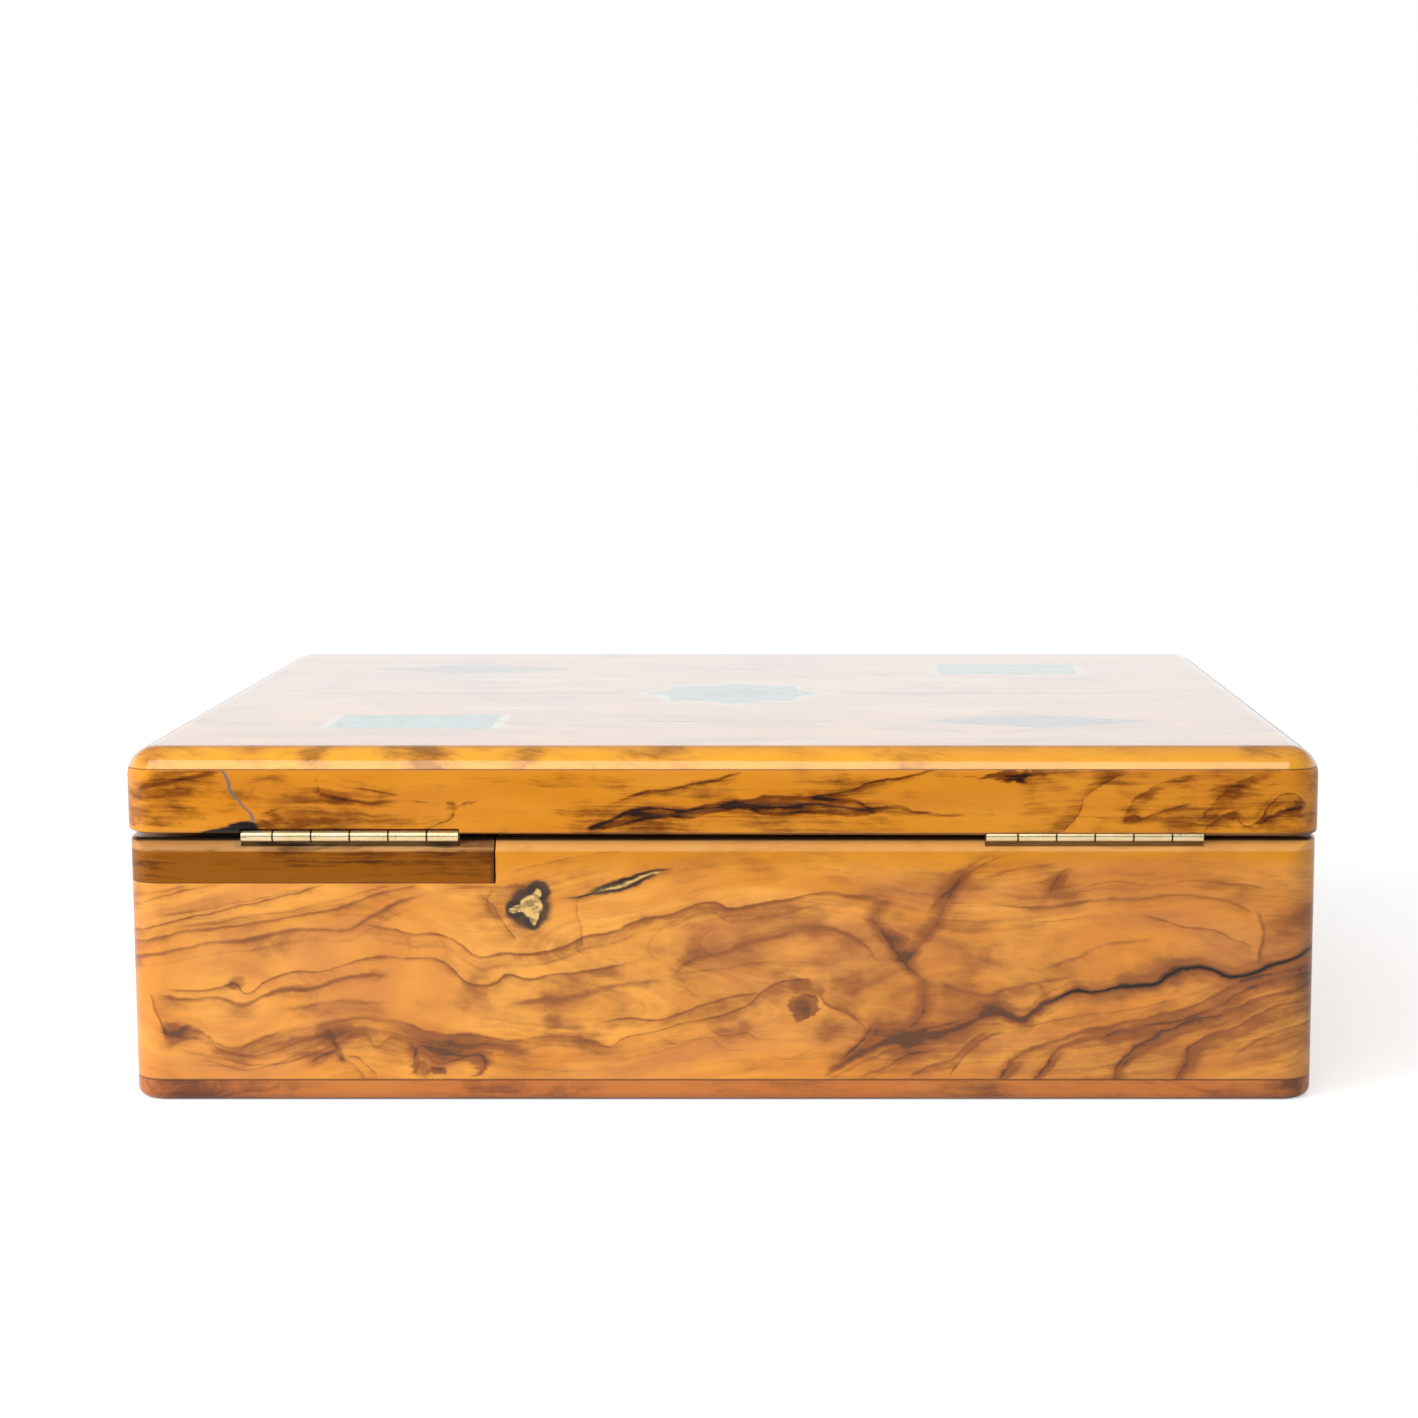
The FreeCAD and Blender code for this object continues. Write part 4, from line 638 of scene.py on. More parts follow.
lidBackRail = {                                         # seen from behind
    "name": "olive_lid_back", "axes": ("-x", "z", "y"), "seed": 31.0, "waver": 2.0, "spread": 1.3, "bold": 1.8,
    "marble": 1.7, "drift": 3.6, "gloss": 1.32, "brown": (0.185, 0.047, 0.003), "umber": (0.026, 0.009, 0.003),
    "tone": (0.62, (0.61, 0.212, 0.002)),
    "rings": {"spacing": 5.0, "sway": (90, 24, 6), "curl": (28, 12, 2.2), "dark": 0.6},
    "veins": [
        vein([(-94.5, 73.4), (-91.6, 72.8), (-86.9, 72.1), (-82.8, 71.6), (-78.7, 71.9), (-72.8, 72.1),
              (-68.1, 71.6), (-63.4, 71.2), (-55.8, 71.4)],
             0.5, 1.4, 1.25, (1, 0.6)),
        vein([(-86.9, 74.9), (-82.8, 74.7), (-78, 74.0), (-74.6, 73.3)], 0.4, 1.0, 0.85, (2, 2)),
        vein([(-61, 70.2), (-58.6, 70.0), (-56.2, 69.5)], 0.4, 0.9, 0.6, (1, 1)),
        vein([(-107, 68.7), (-104.6, 69.4), (-102.4, 70.3)], 0.4, 0.9, 0.6, (1, 1)),
        vein([(-57, 66.2), (-53.4, 66.9), (-50, 67.8)], 0.6, 1.4, 0.5, (2, 2)),
        vein([(-27.7, 70), (-22.8, 72.2), (-17.9, 74.1), (-12.4, 74.7), (-6.9, 76), (-1.3, 77.2), (5, 78.8)],
             0.7, 1.6, 1.25, (8, 1)),
        vein([(-31.4, 65.4), (-27.7, 66.3), (-23.4, 68.5), (-20.4, 69.4), (-14.8, 70.1), (-9.3, 69.4), (-3.2, 70.7),
              (1.7, 71.2), (6, 71.9), (10.3, 72.7), (15.9, 72.7), (21.4, 72.5), (26.9, 72.2), (31.8, 71.9),
              (34.9, 70.4), (41.6, 70.4), (46.1, 69.1), (51.8, 68.4), (58, 68.6)],
             0.6, 1.4, 1.25, (1, 3)),
        vein([(-31, 65.2), (-22.8, 66), (-17.9, 67.2), (-12.4, 67.9), (-6.9, 67.9), (-1.3, 69.1), (4.8, 69.7),
              (9.1, 68.8), (14, 68.6), (18.3, 69.4), (25.1, 69.1), (33.7, 68.8), (38, 69.6)],
             0.5, -1.0, 1.15, (1, 3)),
        vein([(-12, 68.6), (-4, 70), (4, 70.6), (12, 70.4), (20, 71.2), (28, 70.6), (36, 70)],
             0.5, 1.0, 1.3, (3, 3)),
        vein([(20, 72.7), (26.9, 73.7), (30.6, 74.3), (33.7, 75.7), (37.3, 76.6), (43.5, 77.5), (50, 79)],
             0.5, 1.2, 1.2, (2, 3)),
        vein([(-10, 66.2), (0, 67), (10, 66.6), (22, 67.2), (36, 66.8)], 0.5, 1.4, 0.4),
        vein([(93.9, 66.1), (96.2, 68.5), (97.9, 67.6), (100.3, 68.7), (104.4, 70), (108.5, 71.2), (111, 72.4)],
             0.5, 1.6, 0.62, (1, 3)),
        vein([(119.4, 68.6), (121.6, 66.2), (124.9, 68), (127.3, 70.6), (129.6, 72.8), (132.5, 73.6), (134.9, 72.4),
              (136.6, 70)],
             0.5, 1.6, 0.74, (1, 1), echoes=[(1.7, 0.4), (-1.8, 0.35)]),
        vein([(123.6, 67), (128.4, 68.5), (132, 69.9), (136, 70.2)], 0.9, 2.0, 0.95, (2, 1)),
        vein([(111.6, 65.2), (114.4, 67.2), (117.2, 69), (119.6, 69.2)],
             0.7, 1.8, 0.66, (1, 1), echoes=[(1.6, 0.4)]),
        vein([(112, 73.6), (118, 75.2), (124, 74.6), (130, 76.2), (136.6, 75)], 0.6, 2.6, 0.55, (4, 2)),
        vein([(-138, 74.6), (-130, 75.6), (-123, 77.2), (-117, 78.4)], 0.8, 2.0, 0.72, (2, 3)),
        vein([(-113, 75.4), (-106, 76.6), (-99, 76.4)], 0.7, 1.8, 0.5),
        vein([(-52, 68), (-44, 67), (-36, 66.2), (-28, 65)], 0.4, 1.2, 0.3),
    ],
    "steep": [                                          # height first, then sideways
        vein([(64.2, 78.3), (66.8, 81.5), (69.3, 83), (71.5, 83.8), (74.1, 86.2), (76.6, 90.3), (78.4, 95)],
             0.6, 3.0, 0.55, (0.5, 1), band=(-1.6, 1.8, 0.6)),
        vein([(66, 93.4), (68.7, 94.6), (70.6, 94.9), (72.5, 96.8), (75.1, 100.3), (77, 104.4), (78.6, 109)],
             0.6, -3.4, 0.5, (1, 1), band=(1.8, 2.0, 0.75)),
        vein([(67.4, 111), (71.2, 114.2), (74.4, 117.4), (77, 121.6), (78.4, 125)],
             0.6, -3.6, 0.48, (1, 1), band=(1.4, 2.2, 0.8)),
        vein([(65, -71.4), (66.7, -66), (67.9, -63), (69.4, -62.4), (70.6, -61), (71.4, -59)],
             0.6, 1.2, 0.95, (0.8, 0.4)),
        vein([(73, -94.6), (74.6, -94), (76.5, -94.6), (78.6, -93.6)], 0.4, 0.9, 0.55, (0.6, 0.4)),
    ],
    "stains": [
        spot(67.6, 76.9, 8.5, 1.6, 4, 1.45, 0.6), spot(60, 76.2, 6, 0.9, 3, 0.7), spot(75, 77.6, 8, 1.4, 0, 0.5),
        spot(-128, 73.2, 5, 2.4, 0, 0.4), spot(-62.4, 71.2, 2.0, 2.4, 0, 0.7, 0.7), spot(4, 70.3, 30, 2.2, 4, 0.45),
        spot(-18, 68, 12, 1.6, 12, 0.4, 0.7), spot(139, 74, 5.5, 12, 0, 0.62), spot(134, 70.3, 4.5, 2.0, 12, 0.6),
        spot(-139, 74, 4, 14, 0, 0.3), spot(-103, 68, 3, 1.6, -30, 0.5), spot(104, 71, 44, 10, 0, 0.46),
        spot(-130, 72, 14, 9, 0, 0.55), spot(-80, 76, 26, 3.0, -4, 0.3), spot(-84, 68, 18, 2.0, 6, 0.2),
        spot(-48, 74, 16, 3.0, 10, 0.35), spot(107, 76.8, 9, 3.0, 12, 0.5),
        spot(117.4, 68.6, 2.4, 1.6, 10, 0.6, 0.7), spot(120, 75, 9, 4, 20, 0.4), spot(62.6, 69.2, 2.0, 3.2, 0, 0.5),
        spot(-105.6, 66.4, 3.4, 1.8, 0, 0.75), spot(-105, 76.4, 8, 1.8, 4, 0.45),
        spot(-57.6, 71.2, 2.6, 0.9, 0, 0.75, 0.7), spot(-129, 77, 9, 2.2, 10, 0.45),
    ],
    "barkVeins": [
        vein([(-20, 68.4), (-8, 68.8), (4, 70.6), (16, 71.2), (28, 70.4), (36, 69.8)], 0.5, 0.9, 0.5, (4, 4)),
    ],
    "fillerSteep": [
        vein([(66.4, -108.4), (68.8, -109.6), (71.3, -112.1), (74.1, -114.5), (77.5, -115.7), (80.6, -118.5)],
             0.65, 0.9, 0.9, (0.5, 0)),
    ],
    "blackSpots": [
        # painted shade: a black notch in the rail above the left hinge
        spot(-111.8, 65.0, 4.6, 2.4, 10, edge=0.3), spot(-117.5, 64.2, 8.0, 1.3, 8, edge=0.4),
    ],
    # painted shade: the rail's lower edge over the gap under the lid is darker
    "joints": [("z", 79.2, 0.35)], "paintedShade": [("z", 64.6, 63.9, 0.75)], "paintedShadeFrom": (104.6, 105.4),
}
dress("lid_back_rail", OliveBoard(lidBackRail).painted())

lidTop = {                                              # seen from above, back edge at the top
    "name": "olive_lid_top", "coat": 1.0, "axes": ("-x", "y", "z"), "seed": 41.0, "waver": 5.0, "gloss": 1.5,
    "marble": 1.4, "drift": 1.4,
    "rings": {"spacing": 8.0, "sway": (150, 62, 8), "curl": (46, 22, 5), "dark": 0.6, "flowHeights": (-40, 50),
              "flow": ([(-141, -54), (-104, -44), (-70, -52), (-30, -42), (4, -36), (48, -44), (90, -34),
                        (141, -38)],
                       [(-141, 58), (-108, 66), (-80, 60), (-48, 66), (-12, 76), (24, 72), (60, 80), (100, 74),
                        (141, 82)])},
    "veins": [
        vein([(-141, 84), (-112, 90), (-84, 86), (-52, 94), (-20, 99), (16, 96), (50, 101), (84, 97), (141, 104)],
             0.8, 4.0, 0.75, (0, 0), echoes=[(-2.8, 0.3)]),
        vein([(-141, 58), (-108, 66), (-80, 60), (-48, 66), (-12, 76), (24, 72), (60, 80), (100, 74), (141, 82)],
             0.8, 4.0, 0.75, (0, 0), echoes=[(-2.8, 0.3), (3.6, 0.25)]),
        vein([(-141, 30), (-112, 38), (-82, 34), (-54, 44), (-20, 50), (10, 46), (44, 56), (84, 50), (141, 60)],
             0.7, 3.6, 0.6, (0, 0), echoes=[(3.2, 0.3)]),
        vein([(-141, 4), (-104, 12), (-70, 6), (-36, 14), (0, 22), (36, 16), (70, 26), (108, 20), (141, 30)],
             0.7, 3.4, 0.6, (0, 0)),
        vein([(-141, -24), (-100, -16), (-66, -22), (-30, -14), (6, -6), (44, -14), (80, -4), (141, -2)],
             0.8, 4.0, 0.66, (0, 0), echoes=[(-3.2, 0.35)]),
        vein([(-141, -54), (-104, -44), (-70, -52), (-30, -42), (4, -36), (48, -44), (90, -34), (141, -38)],
             0.9, 4.4, 0.8, (0, 0), echoes=[(-2.6, 0.3), (2.8, 0.3)]),
        vein([(-141, -84), (-96, -74), (-58, -82), (-20, -70), (20, -68), (60, -78), (100, -66), (141, -72)],
             0.8, 4.4, 0.75, (0, 0), echoes=[(-3.4, 0.4)]),
        vein([(-90, -104), (-50, -98), (-10, -92), (30, -94), (70, -102)], 0.8, 3.6, 0.7, (6, 6)),
    ],
    "stains": [
        spot(-95, 107, 4.5, 8, 20, 0.75), spot(-71, 107.5, 13, 5, 0, 1.15), spot(-79, 105.5, 5, 5, 0, 0.5),
        spot(-46, 107, 7, 5, -15, 0.75), spot(-110, 106, 7, 5, 0, 0.4), spot(-18, 107, 15, 4, 0, 0.55),
        spot(16, 106.5, 10, 5, 10, 0.45), spot(52, 107, 16, 4, 0, 0.4), spot(-131, 106, 14, 7, 0, 0.55),
        spot(92, 107, 20, 4, 0, 0.3), spot(128, 106, 12, 6, 0, 0.5), spot(-60, 8, 30, 9, 10, 0.3),
        spot(70, -70, 36, 10, 8, 0.35), spot(20, 64, 40, 8, 6, 0.25), spot(-100, -60, 24, 8, 12, 0.3),
    ],
    "fillerSteep": [
        vein([(88, -112), (96, -116), (104, -115), (112, -119)], 0.4, 0.5, 0.8, (3, 0)),
    ],
    "fillerVeins": [
        vein([(64, 110.4), (78, 108.8), (92, 106.4), (104, 101.5), (124, 100)], 0.22, 0.3, 0.75, (2, 4)),
    ],
    # a paler tone along the back round-over: partly worn edge, partly painted highlight
    "joints": [("z", 79.2, 0.35)], "planed": [("y", 103.6, 105.6, 0.75, "fresh")],
}
dress("lid_top_panel", OliveBoard(lidTop).painted())

frontWall = {
    "name": "olive_front_wall", "axes": ("x", "z", "y"), "seed": 53.0, "waver": 3.4,
    "rings": {"spacing": 5.0, "sway": (120, 40, 4), "curl": (30, 14, 2.8), "dark": 0.62, "flowHeights": (14, 46),
              "flow": ([(-141, 10), (-104, 9), (-66, 14), (-26, 16), (14, 18), (44, 24), (60, 26), (80, 22),
                        (110, 28), (141, 33)],
                       [(-141, 40), (-104, 42), (-66, 48), (-26, 50), (10, 53), (44, 52), (64, 51), (96, 46),
                        (141, 50)])},
    "veins": [
        vein([(-141, 12), (-122, 14), (-104, 11), (-86, 16), (-66, 22), (-44, 24), (-26, 30), (-6, 33), (14, 31),
              (34, 36), (46, 44), (54, 50), (64, 52), (78, 47), (96, 45), (118, 50), (141, 48)],
             0.8, 3.2, 0.95, (0, 0), echoes=[(-2.2, 0.3), (2.4, 0.25)]),
        vein([(-141, 20), (-120, 24), (-98, 22), (-78, 28), (-58, 34), (-36, 36), (-14, 42), (8, 44), (26, 42),
              (40, 48), (50, 55)],
             0.6, 2.4, 0.8, (0, 4)),
        vein([(-141, 31), (-118, 35), (-96, 33), (-72, 40), (-50, 44), (-30, 45), (-8, 51), (10, 53), (30, 55)],
             0.6, 2.4, 0.72, (0, 6), echoes=[(1.9, 0.35), (-2.6, 0.25)]),
        vein([(-141, 42), (-124, 45), (-104, 43), (-84, 49), (-60, 53), (-36, 56)], 0.5, 2.0, 0.62, (0, 6)),
        vein([(-60, 7), (-40, 11), (-18, 12), (4, 18), (26, 20), (44, 26), (60, 28), (80, 24), (100, 28), (122, 34),
              (141, 36)],
             1.2, 3.6, 1.1, (6, 0), echoes=[(-2.2, 0.3), (2.4, 0.25)]),
        vein([(-20, 6), (6, 9), (30, 12), (52, 17), (76, 14), (98, 17), (120, 22), (141, 24)],
             0.8, 3.0, 0.85, (4, 0)),
        vein([(40, 5), (60, 8), (84, 7), (108, 10), (141, 14)], 0.7, 3.4, 0.8, (3, 0)),
        vein([(-128, 52), (-112, 55), (-94, 54), (-78, 58)], 0.4, 1.4, 0.55),
        vein([(44, 34), (50, 38), (58, 41), (68, 39), (76, 34)], 0.6, 2.0, 0.85, (2, 2)),
        vein([(40, 30), (50, 33), (60, 35), (72, 32), (82, 30)], 0.6, 1.8, 0.65, (2, 2)),
        vein([(86, 56), (104, 54), (120, 57), (141, 55)], 0.6, 2.2, 0.62, (6, 0)),
    ],
    "steep": [                                          # height first, then sideways
        vein([(24, 30), (30, 34), (37, 40), (44, 43), (52, 44)], 1.4, -3.4, 0.75, (3, 4)),
    ],
    "stains": [
        spot(60, 36, 3.6, 2.6, 10, 0.95, 0.6), spot(60, 38, 8, 3.4, 0, 0.5), spot(74, 30, 10, 5, 0, 0.45),
        spot(-100, 12, 16, 5, 8, 0.4), spot(112, 12, 32, 9, 10, 0.4), spot(-30, 28, 30, 6, 10, 0.25),
        spot(136, 42, 9, 12, 0, 0.45), spot(-139, 30, 5, 40, 0, 0.3),
    ],
    "blackVeins": [
        vein([(30, 20.6), (44, 25.8), (60, 27.8), (80, 23.8), (100, 27.8), (116, 31.8)], 0.45, 0.9, 0.9, (8, 8)),
    ],
    "joints": [("z", 5.2, 0.35)],
}
dress("base_front_wall", OliveBoard(frontWall).painted())

leftWall = {
    "name": "olive_left_wall", "axes": ("-y", "z", "x"), "seed": 61.0, "waver": 3.4,
    "rings": {"spacing": 5.0, "sway": (100, 36, 4), "curl": (30, 14, 2.8), "dark": 0.62, "flowHeights": (14, 46),
              "flow": ([(-112, 8), (-70, 9), (-22, 16), (24, 22), (72, 33), (112, 40)],
                       [(-112, 38), (-66, 42), (-22, 52), (28, 52), (60, 55), (112, 60)])},
    "veins": [
        vein([(-112, 16), (-90, 20), (-70, 18), (-48, 25), (-26, 33), (-4, 36), (16, 34), (36, 40), (60, 47),
              (84, 49), (112, 55)],
             0.8, 3.2, 0.95, (0, 0), echoes=[(-2.2, 0.3), (2.4, 0.25)]),
        vein([(-112, 27), (-88, 31), (-64, 30), (-42, 38), (-20, 45), (4, 48), (28, 47), (52, 54)],
             0.6, 2.4, 0.8, (0, 6)),
        vein([(-112, 39), (-90, 43), (-66, 42), (-44, 49), (-22, 55)],
             0.5, 2.0, 0.65, (0, 6), echoes=[(1.9, 0.35), (-2.6, 0.25)]),
        vein([(-70, 6), (-48, 10), (-22, 14), (2, 20), (24, 20), (48, 27), (72, 34), (94, 36), (112, 41)],
             1.0, 3.6, 1.05, (4, 0), echoes=[(-2.2, 0.3), (2.4, 0.25)]),
        vein([(-20, 5), (6, 9), (30, 11), (56, 17), (80, 22), (112, 27)], 0.8, 3.0, 0.85, (3, 0)),
        vein([(30, 5), (54, 8), (80, 12), (112, 15)], 0.7, 3.2, 0.75, (3, 0)),
    ],
    "steep": [                                          # height first, then sideways
        vein([(24, -40), (30, -36), (38, -37), (44, -33)], 1.0, 2.4, 0.6, (3, 3)),
    ],
    "stains": [
        spot(-34, 22, 3.2, 2.3, 20, 0.9, 0.6), spot(-32, 24, 8, 5, 25, 0.5), spot(-80, 10, 22, 6, 6, 0.35),
        spot(70, 30, 14, 5, 15, 0.4), spot(90, 14, 24, 8, 8, 0.35),
    ],
    "joints": [("z", 5.2, 0.35), ("y", 99.6, 0.3), ("y", -99.6, 0.3)],
}
dress("base_left_wall", OliveBoard(leftWall).painted())

rightWall = {
    "name": "olive_right_wall", "axes": ("y", "z", "x"), "seed": 71.0, "waver": 3.4,
    "rings": {"spacing": 5.0, "sway": (96, 36, 4), "curl": (30, 15, 2.8), "dark": 0.62, "flowHeights": (14, 46),
              "flow": ([(-112, 22), (-62, 21), (-14, 12), (30, 8), (74, 6), (112, 2)],
                       [(-112, 52), (-64, 52), (-18, 42), (26, 38), (60, 36), (112, 30)])},
    "veins": [
        vein([(-112, 50), (-88, 48), (-64, 50), (-40, 43), (-18, 36), (4, 35), (26, 28), (50, 22), (74, 21),
              (112, 14)],
             0.9, 3.6, 1.0, (0, 0), echoes=[(-2.2, 0.3), (2.4, 0.25)]),
        vein([(-112, 38), (-90, 37), (-68, 38), (-44, 30), (-20, 24), (4, 22), (30, 15), (56, 10), (80, 8)],
             0.7, 2.8, 0.85, (0, 5)),
        vein([(-112, 26), (-86, 25), (-62, 24), (-38, 17), (-14, 12), (10, 9)], 0.7, 3.0, 0.8, (0, 5)),
        vein([(-40, 58), (-16, 52), (8, 49), (34, 42), (60, 36), (86, 33), (112, 26)],
             0.6, 2.6, 0.8, (4, 0), echoes=[(1.9, 0.35), (-2.6, 0.25)]),
        vein([(10, 58), (36, 53), (62, 48), (88, 44), (112, 38)], 0.5, 2.2, 0.65, (4, 0)),
        vein([(-112, 13), (-84, 12), (-60, 8)], 0.6, 2.6, 0.7, (0, 4)),
        vein([(28, 44), (36, 49), (44, 50), (52, 46)], 0.5, 1.8, 0.75, (2, 2)),
    ],
    "steep": [                                          # height first, then sideways
        vein([(28, -60), (34, -57), (41, -58), (47, -54)], 1.0, 2.4, 0.6, (3, 3)),
    ],
    "stains": [
        spot(40, 46.6, 3.2, 2.4, 10, 0.9, 0.6), spot(42, 45, 9, 4, -10, 0.45), spot(-80, 14, 20, 6, -6, 0.35),
        spot(70, 14, 24, 7, -10, 0.4), spot(-104, 44, 9, 12, 0, 0.3),
    ],
    "joints": [("z", 5.2, 0.35), ("y", 99.6, 0.3), ("y", -99.6, 0.3)],
}
dress("base_right_wall", OliveBoard(rightWall).painted())

lidFrontRail = {
    "name": "olive_lid_front", "axes": ("x", "z", "y"), "seed": 83.0, "waver": 2.2, "bold": 1.4,
    "rings": {"spacing": 4.6, "sway": (100, 24, 3), "curl": (28, 12, 2.0), "dark": 0.55, "flowHeights": (64, 80),
              "flow": ([(-141, 62), (-84, 64), (-24, 68), (36, 69), (84, 72), (141, 74)],
                       [(-141, 70), (-84, 72), (-24, 76), (36, 78), (84, 80), (141, 82)])},
    "veins": [
        vein([(-141, 66), (-112, 69), (-84, 68), (-56, 72), (-24, 75), (8, 74), (36, 77), (60, 79)],
             0.7, 2.2, 0.9, (0, 3), echoes=[(-1.9, 0.3)]),
        vein([(-70, 65), (-40, 67), (-10, 69), (20, 69), (50, 72), (84, 75), (112, 76), (141, 78)],
             0.9, 2.4, 1.1, (3, 0)),
        vein([(10, 65), (44, 66), (76, 69), (104, 71), (141, 72)], 0.7, 2.2, 0.85, (3, 0)),
        vein([(-141, 74), (-116, 77), (-96, 78.6)], 0.5, 1.8, 0.6, (0, 4)),
        vein([(90, 65), (112, 67), (141, 67)], 0.6, 2.0, 0.7, (3, 0)),
    ],
    "stains": [
        spot(-30, 71, 16, 2.4, 8, 0.5), spot(100, 73, 20, 3, 4, 0.4), spot(-122, 70, 12, 4, 6, 0.35),
    ],
    "joints": [("z", 79.2, 0.35)],
}
dress("lid_front_rail", OliveBoard(lidFrontRail).painted())

lidLeftRail = {
    "name": "olive_lid_left", "axes": ("-y", "z", "x"), "seed": 91.0, "waver": 2.2, "bold": 1.4,
    "rings": {"spacing": 4.6, "sway": (100, 24, 3), "curl": (28, 12, 2.0), "dark": 0.55, "flowHeights": (64, 80),
              "flow": ([(-112, 63), (-50, 64), (14, 69), (60, 71), (112, 74)],
                       [(-112, 70), (-50, 72), (14, 77), (60, 80), (112, 82)])},
    "veins": [
        vein([(-112, 68), (-80, 70), (-50, 68), (-20, 73), (14, 76), (50, 79)],
             0.7, 2.4, 0.9, (0, 3), echoes=[(-1.9, 0.3)]),
        vein([(-60, 65), (-24, 67), (10, 70), (44, 71), (80, 75), (112, 77)], 0.8, 2.4, 1.0, (3, 0)),
        vein([(20, 65), (56, 67), (86, 70), (112, 71)], 0.6, 2.2, 0.8, (3, 0)),
    ],
    "stains": [
        spot(-70, 73, 14, 3, 5, 0.4), spot(60, 72, 16, 3, 6, 0.4),
    ],
    "joints": [("z", 79.2, 0.35), ("y", 100, 0.3), ("y", -100, 0.3)],
}
dress("lid_left_rail", OliveBoard(lidLeftRail).painted())

lidRightRail = {
    "name": "olive_lid_right", "axes": ("y", "z", "x"), "seed": 97.0, "waver": 2.2, "bold": 1.4,
    "rings": {"spacing": 4.6, "sway": (100, 24, 3), "curl": (28, 12, 2.0), "dark": 0.55, "flowHeights": (64, 80),
              "flow": ([(-112, 73), (-44, 71), (0, 67), (52, 66), (112, 62)],
                       [(-112, 80), (-44, 79), (0, 75), (52, 74), (112, 70)])},
    "veins": [
        vein([(-112, 77), (-70, 75), (-36, 76), (0, 71), (36, 68), (70, 67)],
             0.7, 2.4, 0.95, (0, 3), echoes=[(1.9, 0.3)]),
        vein([(-112, 70), (-76, 69), (-44, 67)], 0.6, 2.2, 0.8, (0, 3)),
        vein([(-20, 79), (16, 75), (52, 74), (86, 70), (112, 69)], 0.8, 2.4, 0.95, (2, 0)),
    ],
    "stains": [
        spot(-60, 71, 16, 3, -5, 0.4), spot(60, 76, 14, 2.6, -6, 0.4),
    ],
    "joints": [("z", 79.2, 0.35), ("y", 100, 0.3), ("y", -100, 0.3)],
}
dress("lid_right_rail", OliveBoard(lidRightRail).painted())
print("olive wood boards painted")


# inlay in the lid top: two tones, lines and specks of a third

inlayRoughness = 0.20
inlayPieces = {
    "inlay_turquoise": {
        "name": "inlay_turquoise_stone", "low": (0.060, 0.300, 0.310), "high": (0.150, 0.420, 0.400),
        "mark": (0.045, 0.055, 0.045), "width": 0.035, "lines": 0.85, "specks": 0.35, "grain": 0.1,
        "sizes": (6, 6, 6), "seed": 3.0,
    },
    "inlay_bone": {
        "name": "inlay_bone_slips", "low": (0.780, 0.690, 0.520), "high": (0.660, 0.500, 0.300),
        "mark": (0.320, 0.200, 0.100), "width": 0.012, "lines": 0.25, "specks": 0.40, "grain": 0.9,
        "sizes": (9, 5, 5), "seed": 11.0,
    },
    "inlay_slate": {
        "name": "inlay_slate_blue", "low": (0.045, 0.060, 0.085), "high": (0.115, 0.140, 0.170),
        "mark": (0.20, 0.22, 0.24), "width": 0.014, "lines": 0.35, "specks": 0.18, "grain": 0.3,
        "sizes": (12, 5, 5), "seed": 19.0,
    },
    "inlay_dark_lines": {
        "name": "inlay_ebony_lines", "low": (0.030, 0.019, 0.014), "high": (0.085, 0.050, 0.032),
        "mark": (0.010, 0.007, 0.006), "width": 0.02, "lines": 0.4, "specks": 0.30, "grain": 1.2,
        "sizes": (14, 1.2, 1.2), "seed": 29.0,
    },
}


def inlayFinish(look):
    paint = Finish(look["name"], IOR=1.5, Coat_Weight=1.0, Coat_Roughness=0.05)
    place = paint.vector(*paint.placeInMm())
    sizes, seed = look["sizes"], look["seed"]
    tone = paint.step(paint.cloud(place, sizes, 4.0, seed), 0.32, 0.68)
    web = abs(paint.cloud(place, tuple(size * 0.8 for size in sizes), 3.0, seed + 3.7) - 0.5)
    lines = 1 - paint.step(web, 0.0, look["width"])
    speck = paint.step(paint.cloud(place, (0.9, 0.9, 0.9), 2.0, seed + 6.1), 0.62, 0.74)
    grains = paint.cloud(place, (8, 0.4, 0.4), 2.0, seed + 1.9)
    colour = paint.mix(tone, look["low"], look["high"])
    colour = paint.mix((lines * look["lines"] + speck * look["specks"]).least(1.0), colour, look["mark"])
    colour = paint.mix((0.5 - grains) * look["grain"], colour, look["mark"])
    roughness = inlayRoughness + (tone - 0.5) * 0.06 + lines * 0.05
    return paint.finish(colour, roughness, 0.5 - lines * 0.3 - speck * 0.2, 0.15, 0.0003)


for piece, look in inlayPieces.items():
    dress(piece, inlayFinish(look))
print("inlay painted")


# brass hinges

brass = {
    "bright": (0.96, 0.80, 0.48), "worn": (0.86, 0.64, 0.30), "tarnish": (0.24, 0.135, 0.050),
    "seamAndShade": (0.030, 0.018, 0.010), "leaf": (0.62, 0.39, 0.12), "roughness": 0.26,
    "streak": 0.55,                                     # mm between the drawing lines
    "centre": 87.0, "pitch": 9.0, "barrel": 107.0,      # middle of a hinge, knuckle length, where the barrel begins
    "jointEnds": (20.0, 19.0), "jointWidth": (0.12, 0.34),              # from the middle of a hinge, and of a joint
    "under": 62.45, "underDepth": 0.45,                 # painted shade darkens the barrel's underside below this
    "leafSoft": 0.6, "barrelSoft": 0.2,
}


